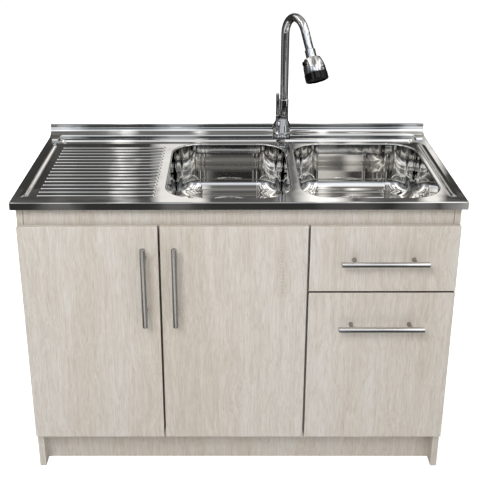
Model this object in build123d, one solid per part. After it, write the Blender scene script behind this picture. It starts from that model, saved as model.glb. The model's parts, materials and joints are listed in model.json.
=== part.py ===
from build123d import *
import math
import os

os.makedirs("parts", exist_ok=True)

# A kitchen sink unit: a pressed steel sink top with two welded bowls and a drainer, on a
# laminate cupboard with two doors and two drawers, and a tall mixer tap.
# Millimetres. X runs to the right, Y runs away from the person who stands at the
# sink, Z runs up. The origin is on the floor, under the middle of the whole unit.

# ---------------------------------------------------------------- sink top
deck_length = 1200.0
deck_depth = 600.0
deck_height = 855.0            # floor to the flat of the sink top
sheet = 1.0                    # steel thickness
apron = 22.0                   # turned-down edge
hem = 6.0                      # return lip under the turned-down edge
edge_radius = 3.0
upstand_rise = 32.0
upstand_depth = 8.0
cove_radius = 18.0
round_end_slack = 0.1          # keeps a bead's fully round ends just short of half its width

ledge_rise = 7.0               # raised tap ledge along the back
ledge_back = 16.0              # from the back edge to the ledge
ledge_depth = 86.0
ledge_end = 26.0               # from a side edge to the ledge
ledge_corner = 38.0
ledge_crown = 5.0
side_bead_rise = 4.0
side_bead_width = 24.0
side_bead_inset = 19.0         # from a side edge to the bead
side_bead_front = 36.0
side_bead_back = 122.0
side_bead_crown = 3.0

bowl_back_margin = 9.5         # from a bowl to the ledge
left_bowl_width = 338.0
right_bowl_width = 374.0
bowl_end_margin = 55.0         # from the right bowl to the right edge of the deck
bowl_web = 28.0                # between the two bowls
bowl_depth = 150.0
bowl_corner = 85.0
bowl_draft = 4.0               # degrees
bowl_floor_radius = 40.0
bowl_rim_radius = 5.0
bowl_seam = 12.0                # flat of the deck down to the weld between deck and bowl

drainer_start = 60.0           # from the left edge of the deck
drainer_end_margin = 23.5      # from the ridges to the left bowl
drainer_back = 153.0           # from the back edge to the first ridge
ridge_count = 16
drainer_front = 49.5           # from the front edge to the last ridge
ridge_width = 17.0
ridge_rise = 3.0

# ---------------------------------------------------------------- wastes and pipes
waste_back = 240.0             # from the back edge of the deck to each waste
waste_bore_radius = 43.5
dish_radius = 58.0
dish_depth = 3.0
waste_flange_radius = 56.5
waste_flange = 2.0
waste_body_radius = 43.0
waste_wall = 2.0
waste_body_depth = 50.0
waste_tail = 40.0
waste_nut_radius = 53.0
waste_nut_height = 12.0
waste_nut_grips = 8
waste_nut_notch = 4.0          # radius of each grip notch
basket_rim_radius = 40.6
basket_radius = 35.0
basket_floor_radius = 29.0
basket_depth = 26.0
basket_sheet = 1.2
basket_seat = 4.0              # below the top of the waste flange
basket_slots = 12
basket_slot_width = 4.0
knob_radius = 7.0
knob_post_radius = 3.0
pipe_radius = 20.0
pipe_wall = 2.0
socket_wall = 4.0
socket_fit = 0.2
pipe_drop = 106.0              # bowl floor to the cross pipe's axis
socket_reach = 50.0
pipe_overlap = 14.0            # how far a pipe enters its socket
trap_drop = 78.0               # cross pipe's axis to the trap's outlet axis
trap_radius = 36.0
trap_wall = 4.0
trap_head = 54.0
trap_cup_depth = 66.0
trap_cup_radius = 33.0
trap_cup_bevel = 6.0
trap_ring_height = 22.0
outlet_stub = 14.0             # outlet pipe past the back panel
spigot_radius = 19.5           # reduced end of the outlet pipe
spigot_length = 40.0

# ---------------------------------------------------------------- cabinet
board = 18.0
side_overhang = 11.0           # sink top past each side panel
door_setback = 3.0             # door face behind the sink top's front edge
door_gap = 2.5                 # between a door and the edge of the cabinet
front_gap = 3.0                # between two neighbouring fronts
front_reveal = 70.0            # sink top down to the top of the doors
kick_height = 116.0
kick_setback = 44.0
middle_door_width = 397.0
drawer_front_width = 399.0     # the left door takes what is left
top_front_height = 193.0
rail_height = 90.0
rail_skin = 8.0                # what is left of the front rail where a bowl passes
scribe_gap = 1.0               # between a bowl and the boards cut round it
scribe_roll_gap = 2.5          # between a bowl's rolled rim and those boards
wall_gap = 8.0                 # sink top past the back of the cabinet
back_sheet = 3.0
back_void = 18.0               # behind the back panel
service_cut_width = 420.0
service_cut_height = 330.0
service_cut_base = 330.0       # above the floor
service_cut_corner = 15.0
pipe_hole_gap = 3.0
edge_ease = 1.0                # softened edges of doors and drawer fronts
wall_screw_radius = 4.0        # clearance holes in the rear rail
wall_screw_spacing = 700.0

# ---------------------------------------------------------------- handles
handle_length = 235.0
handle_radius = 6.0
handle_spacing = 160.0
handle_standoff = 33.0         # door face to the bar's axis
handle_post_radius = 5.0
handle_end_ease = 0.8
handle_edge_inset = 40.0       # door handle to the meeting edge
door_handle_drop = 168.0       # top of the door to the middle of its handle
drawer_handle_drop = 97.0      # top of a drawer front to its handle

# ---------------------------------------------------------------- hinges
hinge_low = 100.0              # bottom of the door to the lower cup
hinge_high = 125.0             # top of the door to the upper cup
cup_radius = 17.5
cup_depth = 11.5
cup_wall = 1.2
cup_tab = 5.0                  # door edge to the rim of the cup
cup_flange_height = 52.0
cup_flange_width = 16.0
cup_flange = 1.2
hinge_plate = 4.0
hinge_plate_height = 46.0
hinge_plate_length = 26.0
hinge_arm_height = 16.0
hinge_arm_depth = 9.0
hinge_arm_length = 66.0
hinge_arm_clear = 0.8          # arm to the flange of the cup
hinge_link_height = 12.0       # folded link between cup and arm
hinge_link_fit = 0.3
cup_hole_fit = 0.1

# ---------------------------------------------------------------- drawers
drawer_board = 15.0
drawer_base_sheet = 5.0
drawer_base_lift = 10.0
top_box_height = 78.0
drawer_waste_gap = 18.0        # back of the shallow drawer to the waste nut
top_box_lift = 22.0            # bottom of the front to the bottom of the box
deep_box_height = 260.0
deep_box_depth = 450.0
deep_box_lift = 24.0
runner_gap = 12.7
runner_height = 45.0
runner_inner_height = 42.0
runner_sheet = 1.2
runner_lip = 9.0
runner_lift = 12.0             # bottom of the box to the bottom of the runner
runner_setback = 2.0

# ---------------------------------------------------------------- tap
tap_offset = 16.0              # left of the middle of the web between the bowls
tap_back = 62.0                # in front of the back edge
tap_hole_radius = 17.5
tap_flange_radius = 27.0
tap_gasket = 2.0
tap_flange = 5.0
tap_waist_radius = 22.0
tap_bulb_radius = 27.0
tap_neck_radius = 18.5
tap_waist_height = 10.0
tap_bulb_height = 32.0
tap_neck_height = 56.0
collar_height = 10.0
collar_radius = 20.0
collar_fit = 0.08
spindle_radius = 13.0
socket_radius = 14.2
socket_height = 57.0
socket_top_ease = 1.5
shank_radius = 16.0
shank_length = 62.0
tap_nut_radius = 28.0
tap_nut_height = 12.0
tail_radius = 5.0
tail_length = 110.0
tail_spacing = 18.0

lever_length = 92.0
lever_root_width = 15.0
lever_straight = 18.0          # hinge pin to where the lever starts to widen
lever_tip_width = 37.0
lever_thickness = 5.0
lever_droop = 9.0              # degrees below level
lever_hinge_out = 27.0         # tap axis to the lever's hinge pin
lever_ear = 4.5
lever_pin_radius = 2.5
lever_tip_radius = 9.0
lever_tip_crown = 1.0

side_lever_offset = 14.5       # left of the tap's axis
side_lever_radius = 5.3
side_lever_length = 76.0
side_lever_pivot = 20.0        # above the bottom of the socket
side_lever_lift = 0.6          # foot of the lever above the collar
side_pin_radius = 2.5
side_pin_depth = 4.0           # pin inside the socket
side_pin_end_gap = 1.0
running_fit = 0.08
turned_ease = 1.0              # softened edges of the small turned pieces

spout_offset = 5.5             # spout axis right of the tap's axis
spout_radius = 12.5
spout_entry = 24.0             # tube inside its socket
arch_height = 325.0            # ledge to the centre of the arch
arch_radius = 60.0
arch_azimuth = 63.0            # degrees, from the right towards the user
head_tilt = 30.0               # degrees, spout's end from straight down
spout_drop = 58.0
spout_collar_radius = 15.5
spout_collar_length = 26.0
head_length = 46.0
head_top_radius = 24.0
head_radius = 32.5
nozzle_length = 22.0
nozzle_radius = 34.0
nozzle_ribs = 8
nozzle_rib_radius = 7.0
face_radius = 27.0
face_rim = 3.0
face_hollow = 1.0
face_recess = 2.0
button_radius = 7.0
button_reach = 5.0
button_height = 14.0           # top of the head to the button

# ---------------------------------------------------------------- worked out
handle_reach = handle_standoff + handle_radius
overall_depth = deck_depth + handle_reach - door_setback
y_back = overall_depth / 2
y_front = y_back - deck_depth
deck_under = deck_height - sheet
apron_bottom = deck_height - apron
cabinet_half = deck_length / 2 - side_overhang
inner_half = cabinet_half - board
door_face = y_front + door_setback
door_back = door_face + board
carcass_front = door_back + door_gap
cabinet_back = y_back - wall_gap
back_panel_rear = cabinet_back - back_void
back_panel_front = back_panel_rear - back_sheet
door_bottom = kick_height + front_gap / 2
door_top = deck_height - front_reveal
right_split = cabinet_half - drawer_front_width - front_gap / 2
left_split = right_split - front_gap - middle_door_width
drawer_split = door_top - top_front_height - front_gap / 2
floor_panel_top = kick_height + board

bowl_front = door_setback + board + door_gap + rail_skin + scribe_gap + sheet
bowl_length = deck_depth - bowl_front - ledge_back - ledge_depth - bowl_back_margin
bowl_y = y_front + bowl_front + bowl_length / 2
right_bowl_x = deck_length / 2 - bowl_end_margin - right_bowl_width / 2
web_x = right_bowl_x - right_bowl_width / 2 - bowl_web / 2
left_bowl_x = web_x - bowl_web / 2 - left_bowl_width / 2
left_bowl_start = left_bowl_x - left_bowl_width / 2
drainer_left = drainer_start - deck_length / 2
drainer_length = left_bowl_start - drainer_end_margin - drainer_left
ridge_pitch = (deck_depth - drainer_back - drainer_front) / (ridge_count - 1)
bowl_floor = deck_height - bowl_depth
dish_floor = bowl_floor - dish_depth
waste_y = y_back - waste_back
ledge_top = deck_height + ledge_rise
cross_z = bowl_floor - pipe_drop
trap_z = cross_z - trap_drop
top_box_depth = waste_y - waste_nut_radius - drawer_waste_gap - door_back

tap_x = web_x - tap_offset
tap_y = y_back - tap_back
spout_x = tap_x + spout_offset
collar_bottom = ledge_top + tap_neck_height
collar_top = collar_bottom + collar_height
socket_bottom = collar_top + running_fit
socket_top = socket_bottom + socket_height


# ---------------------------------------------------------------- helpers
def block(x0, x1, y0, y1, z0, z1):
    """Box between two corners."""
    middle = Pos((x0 + x1) / 2, (y0 + y1) / 2, (z0 + z1) / 2)
    return middle * Box(x1 - x0, y1 - y0, z1 - z0)


def rod(start, end, radius):
    """Round bar between two points."""
    run = Vector(*end) - Vector(*start)
    plane = Plane(origin=start, z_dir=run)
    return extrude(plane * Circle(radius), amount=run.length)


def tube(start, end, outer, inner):
    return rod(start, end, outer) - rod(start, end, inner)


def turned(x, y, outline):
    """Solid turned about the vertical line through (x, y); outline is (radius, height)."""
    face = make_face(Plane.XZ * Polyline(*outline, close=True))
    return Pos(x, y, 0) * revolve(face, Axis.Z)


def edges_near(shape, axis, y=None, z=None):
    """Straight edges along axis whose middle has the given Y and Z."""
    near = 0.01
    found = shape.edges().filter_by(axis)
    if y is not None:
        found = found.filter_by(lambda e: abs(e.center().Y - y) < near)
    if z is not None:
        found = found.filter_by(lambda e: abs(e.center().Z - z) < near)
    return found


def save(name, *shapes):
    solids = [solid for shape in shapes for solid in shape.solids()]
    whole = solids[0] if len(solids) == 1 else Compound(children=solids)
    export_step(whole, f"parts/{name}.step")


# ---------------------------------------------------------------- sink top
def raised_pad(x0, x1, y0, y1, corner, rise, crown, inset):
    """Raised flat area with rounded corners and a rounded top edge."""
    start = deck_height - edge_radius
    top = deck_height + rise - inset
    plan = RectangleRounded(x1 - x0 - 2 * inset, y1 - y0 - 2 * inset, corner - inset)
    pad = extrude(Pos((x0 + x1) / 2, (y0 + y1) / 2, start) * plan, amount=top - start)
    rim = pad.edges().filter_by(lambda e: abs(e.center().Z - top) < sheet / 2)
    return fillet(rim, crown - inset)


def drainer_ridge(y, inset):
    """One long pressed ridge: a shallow arc in section, with round ends."""
    half = ridge_width / 2 - inset
    arc_radius = (half ** 2 + ridge_rise ** 2) / (2 * ridge_rise)
    straight = drainer_length - ridge_width
    base = deck_height - inset
    start = drainer_left + ridge_width / 2
    centre = base + ridge_rise - arc_radius
    ball = Sphere(arc_radius) & Pos(0, 0, arc_radius) * Box(
        2 * arc_radius, 2 * arc_radius, 2 * ridge_rise)
    bar = Rot(0, 90, 0) * Cylinder(arc_radius, straight)
    top_slice = Pos(0, 0, arc_radius) * Box(straight, 2 * arc_radius, 2 * ridge_rise)
    middle = Pos(start + straight / 2, y, centre) * (bar & top_slice)
    ends = [Pos(start + end, y, centre) * ball for end in (0, straight)]
    return [middle, *ends]


def deck_form(inset):
    """Everything under the skin of the flat deck, its ledge, beads and ridges."""
    half = deck_length / 2 - inset
    top = deck_height - inset
    upstand_top = deck_height + upstand_rise - inset
    upstand_face = y_back - upstand_depth + inset
    form = block(-half, half, y_front + inset, y_back - inset, apron_bottom + inset, top)
    form += block(-half, half, upstand_face, y_back - inset, top - edge_radius, upstand_top)
    form = fillet(edges_near(form, Axis.X, upstand_face, top), cove_radius + inset)
    form = fillet(edges_near(form, Axis.X, y_front + inset, top), edge_radius - inset)
    ledge_x = deck_length / 2 - ledge_end
    form += raised_pad(-ledge_x, ledge_x, y_back - ledge_back - ledge_depth,
                       y_back - ledge_back, ledge_corner, ledge_rise, ledge_crown, inset)
    for side in (-1, 1):
        outer = side * (deck_length / 2 - side_bead_inset)
        inner = outer - side * side_bead_width
        form += raised_pad(min(outer, inner), max(outer, inner), y_front + side_bead_front,
                           y_back - side_bead_back, side_bead_width / 2 - round_end_slack,
                           side_bead_rise, side_bead_crown, inset)
    for number in range(ridge_count):
        form += drainer_ridge(y_back - drainer_back - number * ridge_pitch, inset)
    return form


def bowl_form(x, width, grow):
    """The hollow of a bowl, made larger all round by grow."""
    plane = Plane(origin=(x, bowl_y, deck_height), x_dir=(1, 0, 0), z_dir=(0, 0, -1))
    plan = RectangleRounded(width + 2 * grow, bowl_length + 2 * grow, bowl_corner + grow)
    form = extrude(plane * plan, amount=bowl_depth + grow, taper=bowl_draft)
    floor_edges = form.edges().group_by(Axis.Z)[0]
    form = fillet(floor_edges, bowl_floor_radius + grow)
    dish_top = bowl_floor + grow
    dish_height = dish_depth + 2 * grow
    dish = Cylinder(dish_radius + grow, dish_height)
    return form + Pos(x, waste_y, dish_top - dish_height / 2) * dish


def rim_edges(shape, z, x, width, length):
    """The loop of edges round a bowl's mouth at height z."""
    near = 0.05
    reach_x = width / 2 + near
    reach_y = length / 2 + near

    def on_rim(edge):
        box = edge.bounding_box()
        level = abs(box.min.Z - z) < near and abs(box.max.Z - z) < near
        middle = edge.center()
        inside = abs(middle.X - x) < reach_x and abs(middle.Y - bowl_y) < reach_y
        return level and inside

    return shape.edges().filter_by(on_rim)


def sink_skin():
    """Whole steel top: deck, ledge, beads, drainer, apron, upstand and both bowls."""
    half = deck_length / 2 - hem
    under = deck_form(sheet)
    under += block(-half, half, y_front + hem, y_back - hem, apron_bottom - sheet,
                   deck_under - apron / 2)
    skin = deck_form(0) - under
    for x, width in ((left_bowl_x, left_bowl_width), (right_bowl_x, right_bowl_width)):
        hollow = bowl_form(x, width, 0)
        skin = skin - hollow
        skin += bowl_form(x, width, sheet) - hollow
    for x, width in ((left_bowl_x, left_bowl_width), (right_bowl_x, right_bowl_width)):
        outer_loop = rim_edges(skin, deck_under, x, width + 2 * sheet, bowl_length + 2 * sheet)
        skin = fillet(outer_loop, bowl_rim_radius - sheet)
        inner_loop = rim_edges(skin, deck_height, x, width, bowl_length)
        skin = fillet(inner_loop, bowl_rim_radius)
        skin -= Pos(x, waste_y, dish_floor) * Cylinder(waste_bore_radius, bowl_depth / 2)
    skin -= Pos(tap_x, tap_y, ledge_top) * Cylinder(tap_hole_radius, apron)
    return skin


def bowl_zone(x, width):
    """Space round one bowl, from under its dish up to the weld."""
    margin = bowl_web / 4
    return block(x - width / 2 - margin, x + width / 2 + margin,
                 bowl_y - bowl_length / 2 - margin, bowl_y + bowl_length / 2 + margin,
                 dish_floor - margin, deck_height - bowl_seam)


def make_sink():
    """The pressed deck and the two drawn bowls that are welded under its mouths."""
    skin = sink_skin()
    left_zone = bowl_zone(left_bowl_x, left_bowl_width)
    right_zone = bowl_zone(right_bowl_x, right_bowl_width)
    save("sink_top", skin - left_zone - right_zone)
    save("left_bowl", skin & left_zone)
    save("right_bowl", skin & right_zone)


# ---------------------------------------------------------------- wastes and pipes
def waste_body(x):
    """Basket waste: flange in the bowl's dish, body, and a tail for the pipe."""
    top = dish_floor + waste_flange
    bottom = dish_floor - waste_body_depth
    inner = waste_body_radius - waste_wall
    seat = top - basket_seat
    seat_radius = basket_radius + socket_fit + waste_wall
    tail_end = bottom - waste_tail
    bore = pipe_radius - pipe_wall
    return turned(x, waste_y, [
        (inner, top), (waste_flange_radius, top), (waste_flange_radius, dish_floor),
        (waste_body_radius, dish_floor), (waste_body_radius, bottom),
        (pipe_radius, bottom - waste_wall), (pipe_radius, tail_end), (bore, tail_end),
        (bore, bottom + waste_wall), (seat_radius, bottom + 2 * waste_wall),
        (seat_radius, seat), (inner, seat)])


def waste_nut(x):
    """Ring nut that clamps the waste to the underside of the bowl."""
    top = dish_floor - sheet
    ring = turned(x, waste_y, [
        (waste_body_radius + socket_fit, top), (waste_nut_radius, top),
        (waste_nut_radius, top - waste_nut_height),
        (waste_body_radius + socket_fit, top - waste_nut_height)])
    for number in range(waste_nut_grips):
        turn = Rot(0, 0, number * 360 / waste_nut_grips)
        notch = turn * Pos(waste_nut_radius, 0, top - waste_nut_height / 2) * Cylinder(
            waste_nut_notch, waste_nut_height)
        ring -= Pos(x, waste_y, 0) * notch
    return ring


def strainer_basket(x):
    """Lift-out strainer with a slotted wall, a floor and a knob."""
    seat = dish_floor + waste_flange - basket_seat
    floor = seat - basket_depth
    knob_top = seat + basket_seat
    cup = turned(x, waste_y, [
        (0, floor), (basket_floor_radius, floor), (basket_radius, seat),
        (basket_rim_radius, seat), (basket_rim_radius, seat + basket_sheet),
        (basket_radius - basket_sheet, seat + basket_sheet),
        (basket_floor_radius - basket_sheet, floor + basket_sheet),
        (knob_post_radius, floor + basket_sheet), (knob_post_radius, knob_top - knob_post_radius),
        (knob_radius, knob_top - knob_post_radius), (knob_radius, knob_top), (0, knob_top)])
    slot = Pos(basket_radius, 0, (floor + seat) / 2) * Box(
        basket_radius, basket_slot_width, basket_depth / 2)
    for number in range(basket_slots):
        turn = Rot(0, 0, number * 360 / basket_slots)
        cup -= Pos(x, waste_y, 0) * turn * slot
    return cup


def pipe_socket_bore():
    return pipe_radius + socket_fit


def waste_tee():
    """Joins the right bowl's cross pipe to the left bowl's drop."""
    outer = pipe_socket_bore() + socket_wall
    low = (left_bowl_x, waste_y, cross_z - socket_reach)
    high = (left_bowl_x, waste_y, cross_z + socket_reach)
    centre = (left_bowl_x, waste_y, cross_z)
    branch = (left_bowl_x + socket_reach, waste_y, cross_z)
    body = rod(low, high, outer) + rod(centre, branch, outer)
    return body - rod(low, high, pipe_socket_bore()) - rod(centre, branch, pipe_socket_bore())


def waste_elbow():
    """Turns the right bowl's drop towards the tee."""
    outer = pipe_socket_bore() + socket_wall
    centre = (right_bowl_x, waste_y, cross_z)
    high = (right_bowl_x, waste_y, cross_z + socket_reach)
    branch = (right_bowl_x - socket_reach, waste_y, cross_z)
    body = rod(centre, high, outer) + rod(centre, branch, outer) + Pos(*centre) * Sphere(outer)
    bore = rod(centre, high, pipe_socket_bore()) + rod(centre, branch, pipe_socket_bore())
    return body - bore - Pos(*centre) * Sphere(pipe_socket_bore())


def cross_pipe():
    start = (left_bowl_x + socket_reach - pipe_overlap, waste_y, cross_z)
    end = (right_bowl_x - socket_reach + pipe_overlap, waste_y, cross_z)
    return tube(start, end, pipe_radius, pipe_radius - pipe_wall)


def trap_body():
    """Bottle trap: inlet tube, round head, dip tube, and an outlet socket to the wall."""
    inlet_top = cross_z - socket_reach + pipe_overlap
    head_top = trap_z + trap_head / 2
    head_bottom = trap_z - trap_head / 2
    roof = head_top - trap_wall
    bore = pipe_radius - pipe_wall
    head = turned(left_bowl_x, waste_y, [
        (0, head_bottom), (trap_radius, head_bottom), (trap_radius, head_top - pipe_wall),
        (trap_radius - trap_wall, head_top), (pipe_radius, head_top),
        (pipe_radius, inlet_top), (0, inlet_top)])
    centre = (left_bowl_x, waste_y, trap_z)
    mouth = (left_bowl_x, waste_y + trap_radius + socket_reach / 2, trap_z)
    low = (left_bowl_x, waste_y, head_bottom)
    high = (left_bowl_x, waste_y, roof)
    head += rod(centre, mouth, pipe_socket_bore() + socket_wall)
    head -= rod(low, high, trap_radius - trap_wall)
    head += rod(low, high, bore)
    head -= rod(low, (left_bowl_x, waste_y, inlet_top), bore - pipe_wall)
    rear = (left_bowl_x, waste_y + trap_radius - trap_wall - pipe_wall, trap_z)
    return head - rod(rear, mouth, pipe_socket_bore())


def trap_cup():
    """Unscrewing cup under the trap, with a grip ring."""
    top = trap_z - trap_head / 2
    bottom = top - trap_cup_depth
    ring = top - trap_ring_height
    bevel_radius = trap_cup_radius - trap_cup_bevel
    bevel_top = bottom + trap_cup_bevel
    inner = trap_cup_radius - pipe_wall
    return turned(left_bowl_x, waste_y, [
        (0, bottom), (bevel_radius, bottom), (trap_cup_radius, bevel_top),
        (trap_cup_radius, ring), (trap_radius + socket_wall, ring),
        (trap_radius + socket_wall, top), (inner, top), (inner, bevel_top),
        (bevel_radius, bottom + pipe_wall), (0, bottom + pipe_wall)])


def outlet_pipe():
    start = (left_bowl_x, waste_y + trap_radius + socket_reach / 2 - pipe_overlap, trap_z)
    end_y = back_panel_rear + outlet_stub
    step = (left_bowl_x, end_y - spigot_length, trap_z)
    end = (left_bowl_x, end_y, trap_z)
    pipe = rod(start, step, pipe_radius) + rod(step, end, spigot_radius)
    return pipe - rod(start, end, pipe_radius - pipe_wall)


def make_plumbing():
    save("waste_bodies", waste_body(left_bowl_x), waste_body(right_bowl_x))
    save("waste_nuts", waste_nut(left_bowl_x), waste_nut(right_bowl_x))
    save("left_strainer_basket", strainer_basket(left_bowl_x))
    save("right_strainer_basket", strainer_basket(right_bowl_x))
    save("waste_tee", waste_tee())
    save("waste_elbow", waste_elbow())
    save("cross_pipe", cross_pipe())
    save("trap_body", trap_body())
    save("trap_cup", trap_cup())
    save("outlet_pipe", outlet_pipe())


# ---------------------------------------------------------------- cabinet
def bowl_clearance(x, width):
    """Space that a bowl and its rolled rim need where boards are cut round it."""
    roll = sheet + bowl_rim_radius + scribe_roll_gap
    plan = RectangleRounded(width + 2 * roll, bowl_length + 2 * roll, bowl_corner + roll)
    roll_bottom = deck_under - bowl_rim_radius - scribe_gap
    rim_space = extrude(Pos(x, bowl_y, roll_bottom) * plan, amount=apron)
    return bowl_form(x, width, sheet + scribe_gap) + rim_space


def side_panel(side):
    outer = side * cabinet_half
    inner = side * inner_half
    panel = block(min(outer, inner), max(outer, inner), carcass_front, cabinet_back, 0, deck_under)
    groove = back_sheet
    slot = block(min(inner, inner + side * groove), max(inner, inner + side * groove),
                 back_panel_front, back_panel_rear, floor_panel_top, deck_under)
    return panel - slot


def front_rail():
    """Rail under the sink top, hollowed behind so that both bowls pass it."""
    rail = block(-inner_half, inner_half, carcass_front, carcass_front + board,
                 deck_under - rail_height, deck_under)
    rail -= bowl_clearance(left_bowl_x, left_bowl_width)
    rail -= bowl_clearance(right_bowl_x, right_bowl_width)
    return rail


def partition():
    """Divider between cupboard and drawers, cut round the right bowl and the pipe."""
    panel = block(right_split - board / 2, right_split + board / 2, carcass_front,
                  back_panel_front, floor_panel_top, deck_under)
    panel -= bowl_clearance(right_bowl_x, right_bowl_width)
    panel -= block(right_split - board, right_split + board, carcass_front,
                   carcass_front + board, deck_under - rail_height, deck_height)
    panel -= Pos(right_split, waste_y, cross_z) * Rot(0, 90, 0) * Cylinder(
        pipe_radius + pipe_hole_gap, 2 * board)
    return panel


def back_panel():
    """Thin back in grooves, with a service opening behind the pipes."""
    groove = back_sheet
    panel = block(-inner_half - groove, inner_half + groove, back_panel_front, back_panel_rear,
                  floor_panel_top, deck_under)
    plane = Plane(origin=(left_bowl_x, back_panel_front, service_cut_base + service_cut_height / 2),
                  x_dir=(1, 0, 0), z_dir=(0, -1, 0))
    cut = RectangleRounded(service_cut_width, service_cut_height, service_cut_corner)
    return panel - extrude(plane * cut, amount=board, both=True) - wall_screw_holes()


def wall_screw_holes():
    """Pair of clearance holes through the rear rail and the back panel."""
    z = deck_under - rail_height / 2
    holes = []
    for side in (-1, 1):
        x = side * wall_screw_spacing / 2
        holes.append(rod((x, back_panel_front, z), (x, cabinet_back, z), wall_screw_radius))
    return holes


def rear_rail():
    rail = block(-inner_half, inner_half, back_panel_rear, cabinet_back,
                 deck_under - rail_height, deck_under)
    return rail - wall_screw_holes()


def make_cabinet():
    save("side_panel_left", side_panel(-1))
    save("side_panel_right", side_panel(1))
    save("floor_panel", block(-inner_half, inner_half, carcass_front, cabinet_back,
                              kick_height, floor_panel_top))
    kick_front = carcass_front + kick_setback
    save("kickboard", block(-inner_half, inner_half, kick_front, kick_front + board,
                            0, kick_height))
    save("rear_plinth_rail", block(-inner_half, inner_half, cabinet_back - board, cabinet_back,
                                   0, kick_height))
    save("front_rail", front_rail())
    save("rear_rail", rear_rail())
    save("partition", partition())
    save("back_panel", back_panel())


# ---------------------------------------------------------------- handles
def bar_handle(x, z, upright):
    """Round bar on two posts; returns the bar and the pair of posts."""
    along = (0, 0, 1) if upright else (1, 0, 0)
    bar_y = door_face - handle_standoff
    half = handle_length / 2
    start = (x - along[0] * half, bar_y, z - along[2] * half)
    end = (x + along[0] * half, bar_y, z + along[2] * half)
    bar = rod(start, end, handle_radius)
    rims = bar.edges().filter_by(GeomType.CIRCLE)
    bar = chamfer(rims, handle_end_ease)
    posts = []
    for step in (-handle_spacing / 2, handle_spacing / 2):
        post_x = x + along[0] * step
        post_z = z + along[2] * step
        post = rod((post_x, door_face, post_z), (post_x, bar_y, post_z), handle_post_radius)
        posts.append(post - rod(start, end, handle_radius))
    return bar, posts


def save_handle(name, x, z, upright):
    bar, posts = bar_handle(x, z, upright)
    save(f"{name}_handle_bar", bar)
    save(f"{name}_handle_posts", *posts)


# ---------------------------------------------------------------- doors and hinges
def hinge_heights():
    return (door_bottom + hinge_low, door_top - hinge_high)


def cup_centre(edge_x, inward):
    return edge_x + inward * (cup_tab + cup_radius)


def door_panel(x0, x1, edge_x, inward):
    """Door with eased edges and a blind hole for each hinge cup."""
    panel = block(x0, x1, door_face, door_back, door_bottom, door_top)
    panel = chamfer(panel.faces().sort_by(Axis.Y)[0].edges(), edge_ease)
    x = cup_centre(edge_x, inward)
    for z in hinge_heights():
        panel -= rod((x, door_back - cup_depth, z), (x, door_back, z), cup_radius + cup_hole_fit)
    return panel


def hinge_cup(edge_x, inward, z):
    """Pressed cup sunk in the door, its screw flange, and the link folded inside it."""
    x = cup_centre(edge_x, inward)
    cup = rod((x, door_back - cup_depth, z), (x, door_back + cup_flange, z), cup_radius)
    cup += block(x - cup_flange_width / 2, x + cup_flange_width / 2, door_back,
                 door_back + cup_flange, z - cup_flange_height / 2, z + cup_flange_height / 2)
    floor = door_back - cup_depth + cup_wall
    cup -= rod((x, floor, z), (x, door_back + cup_flange, z), cup_radius - cup_wall)
    link_x = x + inward * hinge_arm_depth
    link_end = door_back + cup_flange + hinge_arm_clear - hinge_link_fit
    return cup + block(min(x, link_x), max(x, link_x), floor, link_end,
                       z - hinge_link_height / 2, z + hinge_link_height / 2)


def hinge_arm(face_x, edge_x, inward, z):
    """Mounting plate on the panel and the arm that reaches forward to the cup."""
    plate_outer = face_x + inward * hinge_plate
    arm_outer = max(inward * plate_outer, inward * cup_centre(edge_x, inward)) * inward
    tip = door_back + cup_flange + hinge_arm_clear
    plate_front = carcass_front + hinge_arm_length - hinge_plate_length
    plate = block(min(face_x, plate_outer), max(face_x, plate_outer), plate_front,
                  plate_front + hinge_plate_length, z - hinge_plate_height / 2,
                  z + hinge_plate_height / 2)
    rear = plate_front + hinge_plate_length
    arm_inner = arm_outer + inward * hinge_arm_depth
    plane = Plane(origin=(0, 0, z), x_dir=(1, 0, 0), z_dir=(0, 0, 1))
    outline = Polyline((plate_outer, rear), (plate_outer, plate_front),
                       (arm_outer, tip), (arm_inner, tip),
                       (plate_outer + inward * hinge_arm_depth, plate_front + hinge_plate_length / 2),
                       (plate_outer + inward * hinge_arm_depth, rear), close=True)
    arm = extrude(plane * make_face(outline), amount=hinge_arm_height / 2, both=True)
    return plate + arm


def make_doors():
    left_x0 = -cabinet_half
    left_x1 = left_split - front_gap / 2
    middle_x0 = left_split + front_gap / 2
    middle_x1 = right_split - front_gap / 2
    save("left_door", door_panel(left_x0, left_x1, left_x0, 1))
    save("middle_door", door_panel(middle_x0, middle_x1, middle_x1, -1))
    save("left_door_hinge_cups", *[hinge_cup(left_x0, 1, z) for z in hinge_heights()])
    save("middle_door_hinge_cups", *[hinge_cup(middle_x1, -1, z) for z in hinge_heights()])
    partition_face = right_split - board / 2
    arms = [hinge_arm(-inner_half, left_x0, 1, z) for z in hinge_heights()]
    arms += [hinge_arm(partition_face, middle_x1, -1, z) for z in hinge_heights()]
    save("hinge_arms", *arms)
    handle_z = door_top - door_handle_drop
    save_handle("left_door", left_x1 - handle_edge_inset, handle_z, True)
    save_handle("middle_door", middle_x0 + handle_edge_inset, handle_z, True)


# ---------------------------------------------------------------- drawers
drawer_left = right_split + board / 2
drawer_right = inner_half


def runner_channel(face_x, inward, front, length, z, height):
    """C-section strip with its web on a face and its lips turned inward."""
    web = block(min(face_x, face_x + inward * runner_sheet),
                max(face_x, face_x + inward * runner_sheet), front, front + length,
                z - height / 2, z + height / 2)
    for side in (-1, 1):
        edge = z + side * height / 2
        inner_edge = edge - side * runner_sheet
        lip_x = face_x + inward * runner_lip
        web += block(min(face_x, lip_x), max(face_x, lip_x), front, front + length,
                     min(edge, inner_edge), max(edge, inner_edge))
    return web


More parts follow.
